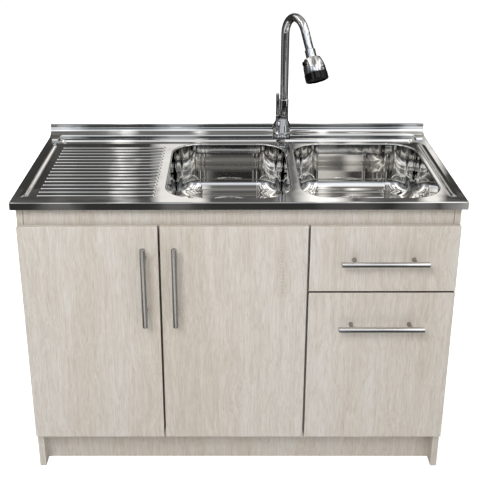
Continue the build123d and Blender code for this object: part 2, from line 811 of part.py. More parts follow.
def runner_pair(depth, box_bottom, outer):
    """Left and right runner members for one drawer."""
    z = box_bottom + runner_lift + runner_height / 2
    front = carcass_front + runner_setback
    length = depth - (carcass_front - door_back) - runner_setback
    members = []
    for face, inward in ((drawer_left, 1), (drawer_right, -1)):
        if outer:
            members.append(runner_channel(face, inward, front, length, z, runner_height))
        else:
            box_face = face + inward * runner_gap
            members.append(runner_channel(box_face, -inward, front, length, z,
                                          runner_inner_height))
    return members


def make_drawer(name, front_bottom, front_top, box_bottom, box_height, box_depth):
    """Front, two sides, back, base, runner members and handle of one drawer."""
    x0 = right_split + front_gap / 2
    x1 = cabinet_half
    panel = block(x0, x1, door_face, door_back, front_bottom, front_top)
    panel = chamfer(panel.faces().sort_by(Axis.Y)[0].edges(), edge_ease)
    save(f"{name}_front", panel)
    left = drawer_left + runner_gap
    right = drawer_right - runner_gap
    rear = door_back + box_depth
    top = box_bottom + box_height
    groove = drawer_base_sheet
    base_bottom = box_bottom + drawer_base_lift
    sides = []
    for outer, inward in ((left, 1), (right, -1)):
        inner = outer + inward * drawer_board
        side = block(min(outer, inner), max(outer, inner), door_back, rear, box_bottom, top)
        cut = inner - inward * groove
        side -= block(min(inner, cut), max(inner, cut), door_back, rear,
                      base_bottom, base_bottom + drawer_base_sheet)
        sides.append(side)
    save(f"{name}_sides", *sides)
    save(f"{name}_back", block(left + drawer_board, right - drawer_board, rear - drawer_board,
                               rear, base_bottom + drawer_base_sheet, top))
    save(f"{name}_base", block(left + drawer_board - groove, right - drawer_board + groove,
                               door_back, rear, base_bottom, base_bottom + drawer_base_sheet))
    save(f"{name}_runners", *runner_pair(box_depth, box_bottom, False))
    save_handle(name, (x0 + x1) / 2, front_top - drawer_handle_drop, False)
    return runner_pair(box_depth, box_bottom, True)


def make_drawers():
    top_bottom = drawer_split + front_gap / 2
    deep_top = drawer_split - front_gap / 2
    channels = make_drawer("top_drawer", top_bottom, door_top, top_bottom + top_box_lift,
                           top_box_height, top_box_depth)
    channels += make_drawer("deep_drawer", door_bottom, deep_top, door_bottom + deep_box_lift,
                            deep_box_height, deep_box_depth)
    save("runner_channels", *channels)


# ---------------------------------------------------------------- tap
def tap_body():
    """Bulb-shaped body with its foot, the spindle above and the threaded shank below."""
    foot = ledge_top + tap_gasket
    bulb = Spline((tap_waist_radius, ledge_top + tap_waist_height),
                  (tap_bulb_radius, ledge_top + tap_bulb_height),
                  (tap_neck_radius, collar_bottom))
    shank_end = ledge_top - shank_length
    start = Polyline((0, shank_end), (shank_radius, shank_end),
                     (shank_radius, foot), (tap_flange_radius, foot),
                     (tap_flange_radius, foot + tap_flange),
                     (tap_waist_radius, ledge_top + tap_waist_height))
    finish = Polyline((tap_neck_radius, collar_bottom), (spindle_radius, collar_bottom),
                      (spindle_radius, collar_top), (0, collar_top), (0, shank_end))
    face = make_face(Plane.XZ * (start + bulb + finish))
    return Pos(tap_x, tap_y, 0) * revolve(face, Axis.Z)


def lever_collar():
    """Turning ring on the body's neck, with the two ears that hold the lever."""
    base = collar_bottom + running_fit
    bore = spindle_radius + collar_fit
    ring = turned(tap_x, tap_y, [
        (bore, base), (collar_radius, base), (collar_radius, collar_top), (bore, collar_top)])
    z = (collar_bottom + collar_top) / 2
    hinge_y = tap_y - lever_hinge_out
    ear_root = tap_y - (spindle_radius + collar_radius) / 2
    half = lever_root_width / 2
    for side in (-1, 1):
        x0 = tap_x + side * (half + running_fit)
        x1 = x0 + side * lever_ear
        ear = block(min(x0, x1), max(x0, x1), hinge_y, ear_root, base, collar_top)
        ear += rod((x0, hinge_y, z), (x1, hinge_y, z), collar_height / 2 - running_fit)
        ring += ear
    return ring - rod((tap_x - collar_radius, hinge_y, z), (tap_x + collar_radius, hinge_y, z),
                      lever_pin_radius + running_fit)


def lever():
    """Flared paddle on its pin; it points at the user and droops a little."""
    z = (collar_bottom + collar_top) / 2
    hinge_y = tap_y - lever_hinge_out
    root = lever_root_width / 2
    tip = lever_tip_width / 2
    shoulder = lever_tip_radius - lever_length
    crown = lever_tip_crown - lever_length
    corner = tip - lever_tip_radius / 2
    outline = Polyline((-root, 0), (root, 0), (root, -lever_straight), (tip, shoulder),
                       (corner, crown), (0, -lever_length), (-corner, crown),
                       (-tip, shoulder), (-root, -lever_straight), close=True)
    plate = extrude(make_face(outline), amount=lever_thickness / 2, both=True)
    plate = fillet(plate.edges().filter_by(lambda e: abs(e.center().Z) > lever_thickness / 4
                                           and e.center().Y < -lever_length / 4),
                   lever_thickness / 3)
    eye = rod((-root, 0, 0), (root, 0, 0), lever_thickness)
    half_pin = root + running_fit + lever_ear
    pin = rod((-half_pin, 0, 0), (half_pin, 0, 0), lever_pin_radius)
    return Pos(tap_x, hinge_y, z) * Rot(lever_droop, 0, 0) * (plate + eye + pin)


def spout_socket():
    """Fixed socket that the spout turns in, with a boss for the side lever."""
    bore = spout_radius + running_fit
    floor = socket_top - spout_entry
    body = turned(spout_x, tap_y, [
        (0, socket_bottom), (socket_radius, socket_bottom),
        (socket_radius, socket_top - socket_top_ease), (socket_radius - socket_top_ease, socket_top),
        (bore, socket_top), (bore, floor), (0, floor)])
    return body - side_pin(side_pin_radius + running_fit, side_pin_depth + side_pin_end_gap)


def side_pin(radius, depth):
    """Round bar across the side lever and into the socket's wall."""
    z = socket_bottom + side_lever_pivot
    start = (tap_x - side_lever_offset, tap_y, z)
    end = (spout_x - socket_radius + depth, tap_y, z)
    return rod(start, end, radius)


def side_lever():
    """Slim upright lever beside the socket, on a pin across its lower part."""
    x = tap_x - side_lever_offset
    low = socket_bottom + side_lever_lift + side_lever_radius
    high = low + side_lever_length - 2 * side_lever_radius
    stick = rod((x, tap_y, low), (x, tap_y, high), side_lever_radius)
    stick += Pos(x, tap_y, low) * Sphere(side_lever_radius)
    stick += Pos(x, tap_y, high) * Sphere(side_lever_radius)
    return stick + side_pin(side_pin_radius, side_pin_depth)


def arch_direction():
    turn = math.radians(arch_azimuth)
    return Vector(math.cos(turn), -math.sin(turn), 0)


def spout_plane():
    """Plane of the spout: its X is the reach, its Y is up."""
    reach = arch_direction()
    return Plane(origin=(spout_x, tap_y, 0), x_dir=reach, z_dir=reach.cross(Vector(0, 0, 1)))


def arch_end():
    """Reach and height where the arch ends and the straight drop starts."""
    tilt = math.radians(head_tilt)
    return (arch_radius * (1 + math.cos(tilt)),
            ledge_top + arch_height + arch_radius * math.sin(tilt))


def along_head(distance):
    """Reach and height at a distance down the tilted end of the spout."""
    tilt = math.radians(head_tilt)
    reach, height = arch_end()
    return (reach + distance * math.sin(tilt), height - distance * math.cos(tilt))


def head_plane(distance):
    """Plane across the head; its Z points the way the water leaves."""
    reach, height = along_head(distance)
    tilt = math.radians(head_tilt)
    origin = spout_plane().from_local_coords((reach, height, 0))
    down = arch_direction() * math.sin(tilt) - Vector(0, 0, 1) * math.cos(tilt)
    return Plane(origin=origin, x_dir=spout_plane().z_dir, z_dir=down)


def spout_tube():
    """Gooseneck: a riser, an arch and a short straight drop."""
    start = socket_top - spout_entry + running_fit
    centre = ledge_top + arch_height
    riser = Line((0, start), (0, centre))
    arch = CenterArc((arch_radius, centre), arch_radius, 180, head_tilt - 180)
    drop = Line(arch_end(), along_head(spout_drop))
    path = spout_plane() * (riser + arch + drop)
    section = Plane(origin=(spout_x, tap_y, start)) * Circle(spout_radius)
    return sweep(section, path=path)


def on_head(distance, outline):
    """Solid turned about the head's axis; outline is (radius, distance along it)."""
    face = make_face(Plane.XZ * Polyline(*outline, close=True))
    return head_plane(distance) * revolve(face, Axis.Z)


def spout_collar():
    outer = spout_collar_radius
    return on_head(spout_drop, [
        (0, running_fit), (outer - turned_ease, running_fit), (outer, turned_ease),
        (outer, spout_collar_length - turned_ease),
        (outer - turned_ease, spout_collar_length), (0, spout_collar_length)])


def button_place():
    """Centre of the button on the head's side, facing left."""
    return spout_drop + spout_collar_length + running_fit + button_height


def spray_head():
    """Bell-shaped shell of the spray head, with a side hole for the button."""
    start = spout_drop + spout_collar_length + running_fit
    middle = (head_top_radius + head_radius) / 2 + turned_ease
    side = Spline((head_top_radius, turned_ease), (middle, head_length / 3),
                  (head_radius, head_length))
    top = Polyline((0, 0), (head_top_radius - turned_ease, 0), (head_top_radius, turned_ease))
    end = Polyline((head_radius, head_length), (0, head_length), (0, 0))
    face = make_face(Plane.XZ * (top + side + end))
    shell = head_plane(start) * revolve(face, Axis.Z)
    return shell - button_rod(button_radius + running_fit, 2 * button_reach, -button_reach)


def button_rod(radius, outward, inward):
    """Round bar along the button's axis, square to the head's side."""
    plane = head_plane(button_place())
    wall = head_radius - button_reach
    start = plane.from_local_coords((wall + inward, 0, 0))
    end = plane.from_local_coords((wall + outward, 0, 0))
    return rod(start, end, radius)


def spray_button():
    return button_rod(button_radius, button_reach, -button_reach / 2)


def nozzle_ring():
    """Ribbed black ring that turns to change the spray."""
    start = spout_drop + spout_collar_length + head_length + 2 * running_fit
    bore = face_radius + running_fit
    bevel = 2 * turned_ease
    ring = on_head(start, [
        (bore, 0), (nozzle_radius, 0), (nozzle_radius, nozzle_length - bevel),
        (nozzle_radius - bevel, nozzle_length), (bore, nozzle_length)])
    for number in range(nozzle_ribs):
        turn = Rot(0, 0, number * 360 / nozzle_ribs)
        groove = turn * Pos(nozzle_radius + nozzle_rib_radius / 2, 0, nozzle_length / 2)
        groove *= Cylinder(nozzle_rib_radius, nozzle_length)
        ring -= head_plane(start) * groove
    return ring


def spray_face():
    """Core inside the ring: holds the ring to the head and carries the spray plate."""
    start = spout_drop + spout_collar_length + head_length + 2 * running_fit
    end = nozzle_length - face_recess
    return on_head(start, [
        (0, 0), (face_radius, 0), (face_radius, end), (face_radius - face_rim, end),
        (face_radius - face_rim, end - face_hollow), (0, end - face_hollow)])


def tap_nut():
    """Hexagonal back nut and washer under the ledge."""
    top = ledge_top - sheet
    plan = Pos(tap_x, tap_y, top - tap_nut_height) * RegularPolygon(tap_nut_radius, 6)
    nut = extrude(plan, amount=tap_nut_height)
    return nut - Pos(tap_x, tap_y, top - tap_nut_height / 2) * Cylinder(
        shank_radius + socket_fit, tap_nut_height)


def tap_tail(side):
    """Rigid inlet tail with a plain end."""
    x = tap_x + side * tail_spacing / 2
    top = ledge_top - shank_length
    bottom = top - tail_length
    return rod((x, tap_y, top), (x, tap_y, bottom), tail_radius)


def make_tap():
    gasket_radius = tap_flange_radius - turned_ease
    save("tap_gasket", turned(tap_x, tap_y, [
        (shank_radius + socket_fit, ledge_top), (gasket_radius, ledge_top),
        (gasket_radius, ledge_top + tap_gasket),
        (shank_radius + socket_fit, ledge_top + tap_gasket)]))
    save("tap_body", tap_body())
    save("lever_collar", lever_collar())
    save("lever", lever())
    save("spout_socket", spout_socket())
    save("side_lever", side_lever())
    save("spout_tube", spout_tube())
    save("spout_collar", spout_collar())
    save("spray_head", spray_head())
    save("spray_button", spray_button())
    save("nozzle_ring", nozzle_ring())
    save("spray_face", spray_face())
    save("tap_nut", tap_nut())
    save("tap_tails", tap_tail(-1), tap_tail(1))


make_cabinet()
make_doors()
make_drawers()
make_plumbing()
make_tap()
make_sink()
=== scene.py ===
import json
import math

import bpy
import numpy as np
from mathutils import Matrix, Vector


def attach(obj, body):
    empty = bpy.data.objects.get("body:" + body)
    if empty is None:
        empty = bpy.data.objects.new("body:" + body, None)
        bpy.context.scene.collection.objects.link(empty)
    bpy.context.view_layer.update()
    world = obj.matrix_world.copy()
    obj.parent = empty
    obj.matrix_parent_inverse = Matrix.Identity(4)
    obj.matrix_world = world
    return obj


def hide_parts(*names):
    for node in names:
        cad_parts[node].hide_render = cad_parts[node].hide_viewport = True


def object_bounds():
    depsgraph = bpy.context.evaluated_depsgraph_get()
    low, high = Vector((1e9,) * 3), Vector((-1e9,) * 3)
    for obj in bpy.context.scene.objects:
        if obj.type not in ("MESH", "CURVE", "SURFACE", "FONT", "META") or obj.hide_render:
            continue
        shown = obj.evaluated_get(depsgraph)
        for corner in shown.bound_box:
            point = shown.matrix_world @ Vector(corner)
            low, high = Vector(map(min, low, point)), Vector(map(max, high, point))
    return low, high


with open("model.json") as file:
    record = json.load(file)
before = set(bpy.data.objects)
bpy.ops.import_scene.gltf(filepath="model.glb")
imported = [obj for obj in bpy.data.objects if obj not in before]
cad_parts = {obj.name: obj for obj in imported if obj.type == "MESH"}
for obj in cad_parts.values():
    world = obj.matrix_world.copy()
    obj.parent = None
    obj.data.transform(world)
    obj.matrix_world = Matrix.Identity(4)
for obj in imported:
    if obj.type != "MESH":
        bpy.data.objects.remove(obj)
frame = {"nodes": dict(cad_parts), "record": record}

cad_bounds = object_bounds()
nodes = frame["nodes"]
MM = 0.001
HANDLE_REACH = 0.039           # from the doors' front to the front of the bars
DOOR_FACE = cad_bounds[0][1] + HANDLE_REACH

# ------------------------------------------------------------------ camera
FOCAL_PX = 876.1               # focal length, for an image 480 pixels wide
IMAGE_PX = 480.0
AXIS_PX = (225.6, 188.2)       # where the lens axis meets the image
CAMERA_AT = Vector((-19.4, -2394.3, 1711.0)) * MM
PITCH, YAW, ROLL = (math.radians(a) for a in (21.13, -0.378, 0.233))


def make_camera():
    ahead = Vector((math.sin(YAW) * math.cos(PITCH), math.cos(YAW) * math.cos(PITCH),
                    -math.sin(PITCH)))
    level = Vector((math.cos(YAW), -math.sin(YAW), 0))
    down = ahead.cross(level)
    right = math.cos(ROLL) * level + math.sin(ROLL) * down
    low = -math.sin(ROLL) * level + math.cos(ROLL) * down
    data = bpy.data.cameras.new("camera")
    data.sensor_width = 36.0
    data.lens = FOCAL_PX / IMAGE_PX * data.sensor_width
    data.shift_x = (IMAGE_PX / 2 - AXIS_PX[0]) / IMAGE_PX
    data.shift_y = -(IMAGE_PX / 2 - AXIS_PX[1]) / IMAGE_PX
    data.clip_end = 100.0
    camera = bpy.data.objects.new("camera", data)
    turn = Matrix((right, -low, -ahead)).transposed()
    camera.matrix_world = Matrix.Translation(CAMERA_AT) @ turn.to_4x4()
    bpy.context.scene.collection.objects.link(camera)
    bpy.context.scene.camera = camera


def box(node):
    """Lowest and highest corner of a node, in metres."""
    corners = np.array([node.matrix_world @ Vector(c) for c in node.bound_box])
    return corners.min(0), corners.max(0)


# ------------------------------------------------------------------ shader helpers
def add(tree, kind, settings=None, **inputs):
    """New node; inputs are values or sockets, with _ for a space in a name."""
    item = tree.nodes.new(kind)
    for key, value in (settings or {}).items():
        setattr(item, key, value)
    for key, value in inputs.items():
        name = key.replace("_", " ")
        socket = item.inputs[int(name[1:])] if name[0] == "i" and name[1:].isdigit() \
            else item.inputs[name]
        if isinstance(value, bpy.types.NodeSocket):
            tree.links.new(value, socket)
        else:
            socket.default_value = value
    return item


def math_node(tree, operation, a, b=0.0):
    return add(tree, "ShaderNodeMath", {"operation": operation}, i0=a, i1=b).outputs[0]


def noise(tree, vector, detail, roughness=0.5):
    """Noise whose size comes from its vector's scale."""
    item = add(tree, "ShaderNodeTexNoise", None, Vector=vector, Scale=1.0, Detail=detail,
               Roughness=roughness)
    return item.outputs["Fac"]


def stretched(tree, scale, offset=(0.0, 0.0, 0.0)):
    """Object coordinates in metres, moved and scaled along each axis."""
    coord = add(tree, "ShaderNodeTexCoord").outputs["Object"]
    item = add(tree, "ShaderNodeMapping", None, Vector=coord, Location=offset, Scale=scale)
    return item.outputs[0]


def remap(tree, value, low, high, to_low=0.0, to_high=1.0, kind="LINEAR"):
    item = add(tree, "ShaderNodeMapRange", {"interpolation_type": kind}, Value=value)
    for name, number in (("From Min", low), ("From Max", high),
                         ("To Min", to_low), ("To Max", to_high)):
        item.inputs[name].default_value = number
    return item.outputs[0]


def mix(tree, factor, a, b):
    item = add(tree, "ShaderNodeMix", {"data_type": "RGBA"}, i0=factor)
    for index, value in ((6, a), (7, b)):
        if isinstance(value, bpy.types.NodeSocket):
            tree.links.new(value, item.inputs[index])
        else:
            item.inputs[index].default_value = (*value, 1.0)
    return item.outputs[2]


def bump(tree, height, distance, strength=1.0, below=None):
    item = add(tree, "ShaderNodeBump", None, Height=height, Distance=distance,
               Strength=strength)
    if below is not None:
        tree.links.new(below, item.inputs["Normal"])
    return item.outputs[0]


def material(name, metallic=0.0, roughness=0.5, color=(0.5, 0.5, 0.5)):
    made = bpy.data.materials.new(name)
    made.use_nodes = True
    tree = made.node_tree
    shader = tree.nodes["Principled BSDF"]
    shader.inputs["Metallic"].default_value = metallic
    shader.inputs["Roughness"].default_value = roughness
    shader.inputs["Base Color"].default_value = (*color, 1.0)
    return made, tree, shader


def srgb(red, green, blue):
    """Linear colour from 0-255 display values."""
    return tuple(((c / 255 + 0.055) / 1.055) ** 2.4 for c in (red, green, blue))


# ------------------------------------------------------------------ materials (metres)
SPOUT_CALM = (0.168, 1.17)     # x and z up to which the spout's chrome is smooth
GAP_SHADE_DEPTH = 0.003             # behind this depth the fronts' edges are painted near black as the shade in the gaps
FIGURE_AT = (0.112, 0.655)     # x and z of the arched figure on the middle door


def laminate(name, offset, edge=None, figure=None):
    """Limed oak laminate with upright grain; offset moves the figure. edge is the depth in
    metres behind which the upright edges (and the deep drawer front's top face) get painted
    shade, near black like the gaps between fronts; figure is a place (x, z) for an arched figure."""
    made, tree, shader = material(name, 0.0, 0.5)
    sway = noise(tree, stretched(tree, (5, 5, 3.2), offset), 2.0)
    sway = remap(tree, sway, 0.3, 0.7, -0.012, 0.012)
    coord = add(tree, "ShaderNodeTexCoord").outputs["Object"]
    shift = add(tree, "ShaderNodeCombineXYZ", None, X=sway, Y=sway)
    moved = add(tree, "ShaderNodeVectorMath", {"operation": "ADD"}, i0=coord,
                i1=shift.outputs[0]).outputs[0]

    def grain(scale, detail, roughness):
        place = add(tree, "ShaderNodeMapping", None, Vector=moved, Location=offset,
                    Scale=scale).outputs[0]
        return noise(tree, place, detail, roughness)

    broad = grain((10, 10, 0.9), 2.0, 0.5)
    streak = grain((60, 60, 2.4), 3.0, 0.55)
    fibre = grain((270, 270, 9), 3.0, 0.6)
    pore = grain((520, 520, 30), 2.0, 0.6)
    color = mix(tree, remap(tree, broad, 0.38, 0.62, 0.0, 1.0), srgb(202, 193, 181),
                srgb(208, 202, 194))
    color = mix(tree, remap(tree, streak, 0.48, 0.68, 0.0, 0.35), color, srgb(190, 179, 166))
    color = mix(tree, remap(tree, streak, 0.48, 0.32, 0.0, 0.35), color, srgb(216, 212, 206))
    color = mix(tree, remap(tree, fibre, 0.50, 0.66, 0.0, 0.32), color, srgb(181, 169, 154))
    color = mix(tree, remap(tree, fibre, 0.50, 0.36, 0.0, 0.30), color, srgb(222, 219, 214))
    color = mix(tree, remap(tree, pore, 0.56, 0.70, 0.0, 0.34), color, srgb(158, 142, 125))
    color = mix(tree, remap(tree, pore, 0.46, 0.34, 0.0, 0.22), color, srgb(228, 226, 222))
    axes = add(tree, "ShaderNodeSeparateXYZ", None, Vector=coord).outputs
    if figure:
        steepness, spacing = 190.0, 0.0105
        aside = math_node(tree, "SUBTRACT", axes["X"], figure[0])
        aside = math_node(tree, "ADD", aside, math_node(tree, "MULTIPLY", sway, 0.5))
        square = math_node(tree, "MULTIPLY", aside, aside)
        arch = math_node(tree, "ADD", axes["Z"], math_node(tree, "MULTIPLY", square, steepness))
        wave = math_node(tree, "SINE", math_node(tree, "MULTIPLY", arch, 2 * math.pi / spacing))
        near = remap(tree, square, 0.00015, 0.0007, 1.0, 0.0, "SMOOTHSTEP")
        above = math_node(tree, "ABSOLUTE", math_node(tree, "SUBTRACT", axes["Z"], figure[1]))
        fade = remap(tree, above, 0.05, 0.10, 1.0, 0.0, "SMOOTHSTEP")
        near = math_node(tree, "MULTIPLY", near, fade)
        line = math_node(tree, "MULTIPLY", remap(tree, wave, 0.1, 0.9, 0.0, 0.55), near)
        color = mix(tree, line, color, srgb(172, 159, 144))
    if edge is not None:
        facing = add(tree, "ShaderNodeTexCoord").outputs["Normal"]
        facing = add(tree, "ShaderNodeSeparateXYZ", None, Vector=facing).outputs
        side = math_node(tree, "ABSOLUTE", facing["X"])
        if name.endswith("deep_drawer_front"):
            side = math_node(tree, "MAXIMUM", side, facing["Z"])
        # painted shade: faces behind edge turn near black for the shade in the gaps between the
        # fronts
        gap_shade = math_node(tree, "MULTIPLY", math_node(tree, "GREATER_THAN", side, 0.9),
                        math_node(tree, "GREATER_THAN", axes["Y"], edge))
        color = mix(tree, gap_shade, color, srgb(24, 20, 17))
    tree.links.new(color, shader.inputs["Base Color"])
    tree.links.new(remap(tree, fibre, 0.3, 0.7, 0.46, 0.58), shader.inputs["Roughness"])
    tree.links.new(bump(tree, fibre, 0.00012, 0.5), shader.inputs["Normal"])
    return made


def board(name, color, roughness, mottle):
    """Plain board with faint mottling and orange-peel."""
    made, tree, shader = material(name, 0.0, roughness, color)
    cloud = noise(tree, stretched(tree, (9, 9, 9)), 4.0, 0.6)
    darker = tuple(c * (1 - mottle) for c in color)
    tree.links.new(mix(tree, remap(tree, cloud, 0.35, 0.65), color, darker),
                   shader.inputs["Base Color"])
    grit = noise(tree, stretched(tree, (700, 700, 700)), 2.0)
    tree.links.new(bump(tree, grit, 0.00006, 0.4), shader.inputs["Normal"])
    return made


def polished_sheet(name, color, roughness, ripple):
    """Polished steel sheet: faint polish lines, smears and slow ripples."""
    made, tree, shader = material(name, 1.0, roughness, color)
    smear = noise(tree, stretched(tree, (7, 7, 7)), 4.0, 0.6)
    lines = noise(tree, stretched(tree, (14, 900, 900)), 3.0, 0.6)
    rough = math_node(tree, "ADD", remap(tree, smear, 0.35, 0.7, 0.7 * roughness, 1.5 * roughness),
                      remap(tree, lines, 0.45, 0.75, 0.0, 0.3 * roughness))
    tree.links.new(rough, shader.inputs["Roughness"])
    tint = mix(tree, remap(tree, smear, 0.3, 0.7), color, tuple(c * 0.93 for c in color))
    tree.links.new(tint, shader.inputs["Base Color"])
    slow = noise(tree, stretched(tree, (11, 16, 16)), 1.0, 0.4)
    normal = bump(tree, slow, ripple, 1.0)
    tree.links.new(bump(tree, lines, 0.000004, 0.5, normal), shader.inputs["Normal"])
    return made


def brushed(name, color, roughness, along, edge_tint=1.0):
    """Brushed metal whose lines run along one axis (0, 1 or 2); a low edge_tint darkens
    surfaces seen at a slant."""
    made, tree, shader = material(name, 1.0, roughness, color)
    shader.inputs["Specular Tint"].default_value = (edge_tint, edge_tint, edge_tint, 1.0)
    scale = [2600.0, 2600.0, 2600.0]
    scale[along] = 30.0
    lines = noise(tree, stretched(tree, tuple(scale)), 3.0, 0.65)
    tree.links.new(remap(tree, lines, 0.3, 0.75, 0.75 * roughness, 1.35 * roughness),
                   shader.inputs["Roughness"])
    shade = mix(tree, remap(tree, lines, 0.3, 0.7), color, tuple(c * 0.78 for c in color))
    tree.links.new(shade, shader.inputs["Base Color"])
    tree.links.new(bump(tree, lines, 0.00003, 0.5), shader.inputs["Normal"])
    return made


def chrome_plate(name, ripple, calm=None):
    """Chrome with slow ripples; it is calm below and left of calm (x and z, metres)."""
    made, tree, shader = material(name, 1.0, 0.03, (0.72, 0.725, 0.74))
    shader.inputs["Specular Tint"].default_value = (0.0, 0.0, 0.0, 1.0)
    smear = noise(tree, stretched(tree, (60, 60, 60)), 4.0, 0.6)
    tree.links.new(remap(tree, smear, 0.4, 0.75, 0.015, 0.07), shader.inputs["Roughness"])
    slow = noise(tree, stretched(tree, (48, 48, 48)), 0.0)
    if calm:
        place = add(tree, "ShaderNodeTexCoord").outputs["Object"]
        axes = add(tree, "ShaderNodeSeparateXYZ", None, Vector=place).outputs
        beside = remap(tree, axes["X"], calm[0], calm[0] + 0.01, 0.06, 1.0)
        above = remap(tree, axes["Z"], calm[1], calm[1] + 0.02, 0.06, 1.0)
        slow = math_node(tree, "MULTIPLY", slow, math_node(tree, "MAXIMUM", beside, above))
    tree.links.new(bump(tree, slow, ripple, 1.0), shader.inputs["Normal"])
    return made


def moulded(name, color, roughness, specular=0.5):
    """Moulded plastic or rubber with a fine grain and slight sheen changes."""
    made, tree, shader = material(name, 0.0, roughness, color)
    shader.inputs["Specular IOR Level"].default_value = specular
    fine = noise(tree, stretched(tree, (900, 900, 900)), 2.0)
    cloud = noise(tree, stretched(tree, (25, 25, 25)), 3.0)
    tree.links.new(remap(tree, cloud, 0.3, 0.7, 0.8 * roughness, 1.25 * roughness),
                   shader.inputs["Roughness"])
    lighter = tuple(min(1.0, c * 1.12 + 0.002) for c in color)
    tree.links.new(mix(tree, remap(tree, cloud, 0.35, 0.65), color, lighter),
                   shader.inputs["Base Color"])
    tree.links.new(bump(tree, fine, 0.00004, 0.5), shader.inputs["Normal"])
    return made


def dress(piece, made):
    piece.data.materials.clear()
    piece.data.materials.append(made)


def dress_nodes():
    boards = [s["node"] for s in frame["record"]["subparts"] if s["material_slot"] == "laminate"]
    for index, name in enumerate(boards):
        edge = DOOR_FACE + GAP_SHADE_DEPTH if name.endswith(("_door", "_front")) else None
        figure = FIGURE_AT if name == "middle_door" else None
        dress(nodes[name], laminate(f"laminate_{name}", (3.1 * index, 1.7 * index, 0.9 * index),
                                    edge, figure))
    # painted shade and painted light: one satin steel in a darker copy for the upright door bars
    # and a lighter, glossier copy for the level drawer bars
    upright = brushed("satin_steel_upright_shaded", (0.66, 0.65, 0.63), 0.2, 2, 0.0)
    level = brushed("satin_steel_level_lit", (0.84, 0.83, 0.81), 0.08, 0, 0.0)
    head_chrome = chrome_plate("head_chrome", 0.0018)
    made = {
        "white_board": board("white_board", srgb(232, 231, 226), 0.4, 0.04),
        "hardboard": board("hardboard", srgb(214, 208, 198), 0.55, 0.07),
        "polished_steel": sheet_steel,
        "waste_steel": polished_sheet("waste_steel", (0.66, 0.655, 0.64), 0.14, 0.0002),
        "hinge_steel": brushed("hinge_steel", (0.62, 0.62, 0.61), 0.28, 1),
        "runner_steel": brushed("runner_steel", (0.66, 0.67, 0.68), 0.38, 1),
        "chrome": chrome_plate("chrome", 0.0001),
        "black_plastic": moulded("black_plastic", (0.001, 0.001, 0.001), 0.10, 0.3),
        "white_pipe": moulded("white_pipe", srgb(226, 225, 220), 0.34),
        "rubber": moulded("rubber", (0.02, 0.02, 0.02), 0.6),
        "brass": brushed("brass", (0.70, 0.53, 0.26), 0.3, 0),
        "copper_tail": brushed("copper_tail", (0.72, 0.42, 0.27), 0.3, 2),
    }
    for part in frame["record"]["subparts"]:
        slot = part["material_slot"]
        if slot == "laminate":
            continue
        if slot == "satin_steel":
            dress(nodes[part["node"]], level if "drawer" in part["node"] else upright)
        elif part["node"] == "spout_tube":
            dress(nodes["spout_tube"], chrome_plate("bent_chrome", 0.0034, SPOUT_CALM))
        elif part["node"] in ("spray_head", "spout_collar"):
            dress(nodes[part["node"]], head_chrome)
        else:
            dress(nodes[part["node"]], made[slot])


# ------------------------------------------------------------------ sink top (millimetres)
DECK_Z = 855.0
HALF_X = 600.0
Y_FRONT, Y_BACK = -282.0, 318.0
SHEET = 1.0
APRON_Z = 833.0
HEM = 6.0
EDGE = 3.0                     # radius of the turned-down edge
COVE = 24.0
UPSTAND_Z, UPSTAND_FACE = 887.0, 310.0
UPSTAND_ROUND = 1.6
# half length, front, back, corner radius, rise, width of the slope
LEDGE = (568.0, 221.0, 296.0, 32.0, 7.0, 6.0)
# x, front, back, half width, rise
BEAD = (569.0, -234.0, 184.0, 12.0, 4.0)
# left end, right end, y of the rearmost, pitch, count, half width, rise
RIDGES = (-531.5, -227.0, 165.0, 26.5, 16, 9.5, 3.0)
CREST_SHARE, CREST_HALF, CREST_FLANK = 0.75, 5.0, 2.2  # steep upper part of each ridge
BOWLS = ((-26.0, 169.0), (358.0, 187.0))               # centre x, half width
BOWL_Y, BOWL_HALF_Y, BOWL_CORNER = -21.0, 227.5, 85.0
BOWL_DEPTH, DRAFT, FLOOR_BEND, RIM = 150.0, math.radians(4.0), 40.0, 5.0
SEAM = 12.0                    # deck down to the weld of a bowl
WASTE_Y, DISH, DISH_RADIUS, WASTE_BORE = 78.0, 3.0, 58.0, 43.5
CELL_FRONT, CELL_BACK = Y_FRONT + EDGE, 212.5  # flat surround of the bowls
CELL_X = (-215.5, 157.0, 552.0)                # its left side, web and right side


def ease(t):
    t = np.clip(t, 0.0, 1.0)
    return t * t * t * (t * (6.0 * t - 15.0) + 10.0)


def incline(t):
    """From 0 to 1 with a straight middle and rounded ends."""
    t = np.clip(t, 0.0, 1.0)
    soft = 0.3
    low = t * t / (2 * soft)
    high = (1 - soft) - (1 - t) * (1 - t) / (2 * soft)
    middle = t - soft / 2
    return np.where(t < soft, low, np.where(t > 1 - soft, high, middle)) / (1 - soft)


def bump_across(distance, half, rise):
    """Height of a rounded bead: rise at no distance, nothing from half on."""
    t = np.clip(distance / half, 0.0, 1.0)
    return rise * (0.5 + 0.5 * np.cos(math.pi * t))


def deck_height(x, y):
    """Height of the pressed deck above its flat, outside the bowls."""
    half, front, back, corner, rise, slope = LEDGE
    middle, depth = (front + back) / 2, (back - front) / 2
    qx = np.abs(x) - (half - corner)
    qy = np.abs(y - middle) - (depth - corner)
    inside = corner - (np.hypot(np.maximum(qx, 0), np.maximum(qy, 0))
                       + np.minimum(np.maximum(qx, qy), 0))
    height = rise * incline(inside / slope)
    bead_x, bead_front, bead_back, bead_half, bead_rise = BEAD
    gap = np.hypot(np.abs(x) - bead_x, y - np.clip(y, bead_front, bead_back))
    height = height + bump_across(gap, bead_half, bead_rise)
    x0, x1, first, pitch, count, ridge_half, ridge_rise = RIDGES
    row = np.clip(np.round((first - y) / pitch), 0, count - 1)
    gap = np.hypot(x - np.clip(x, x0, x1), y - (first - row * pitch))
    foot = bump_across(gap, ridge_half, ridge_rise * (1 - CREST_SHARE))
    return height + foot + ridge_rise * CREST_SHARE * incline((CREST_HALF - gap) / CREST_FLANK)


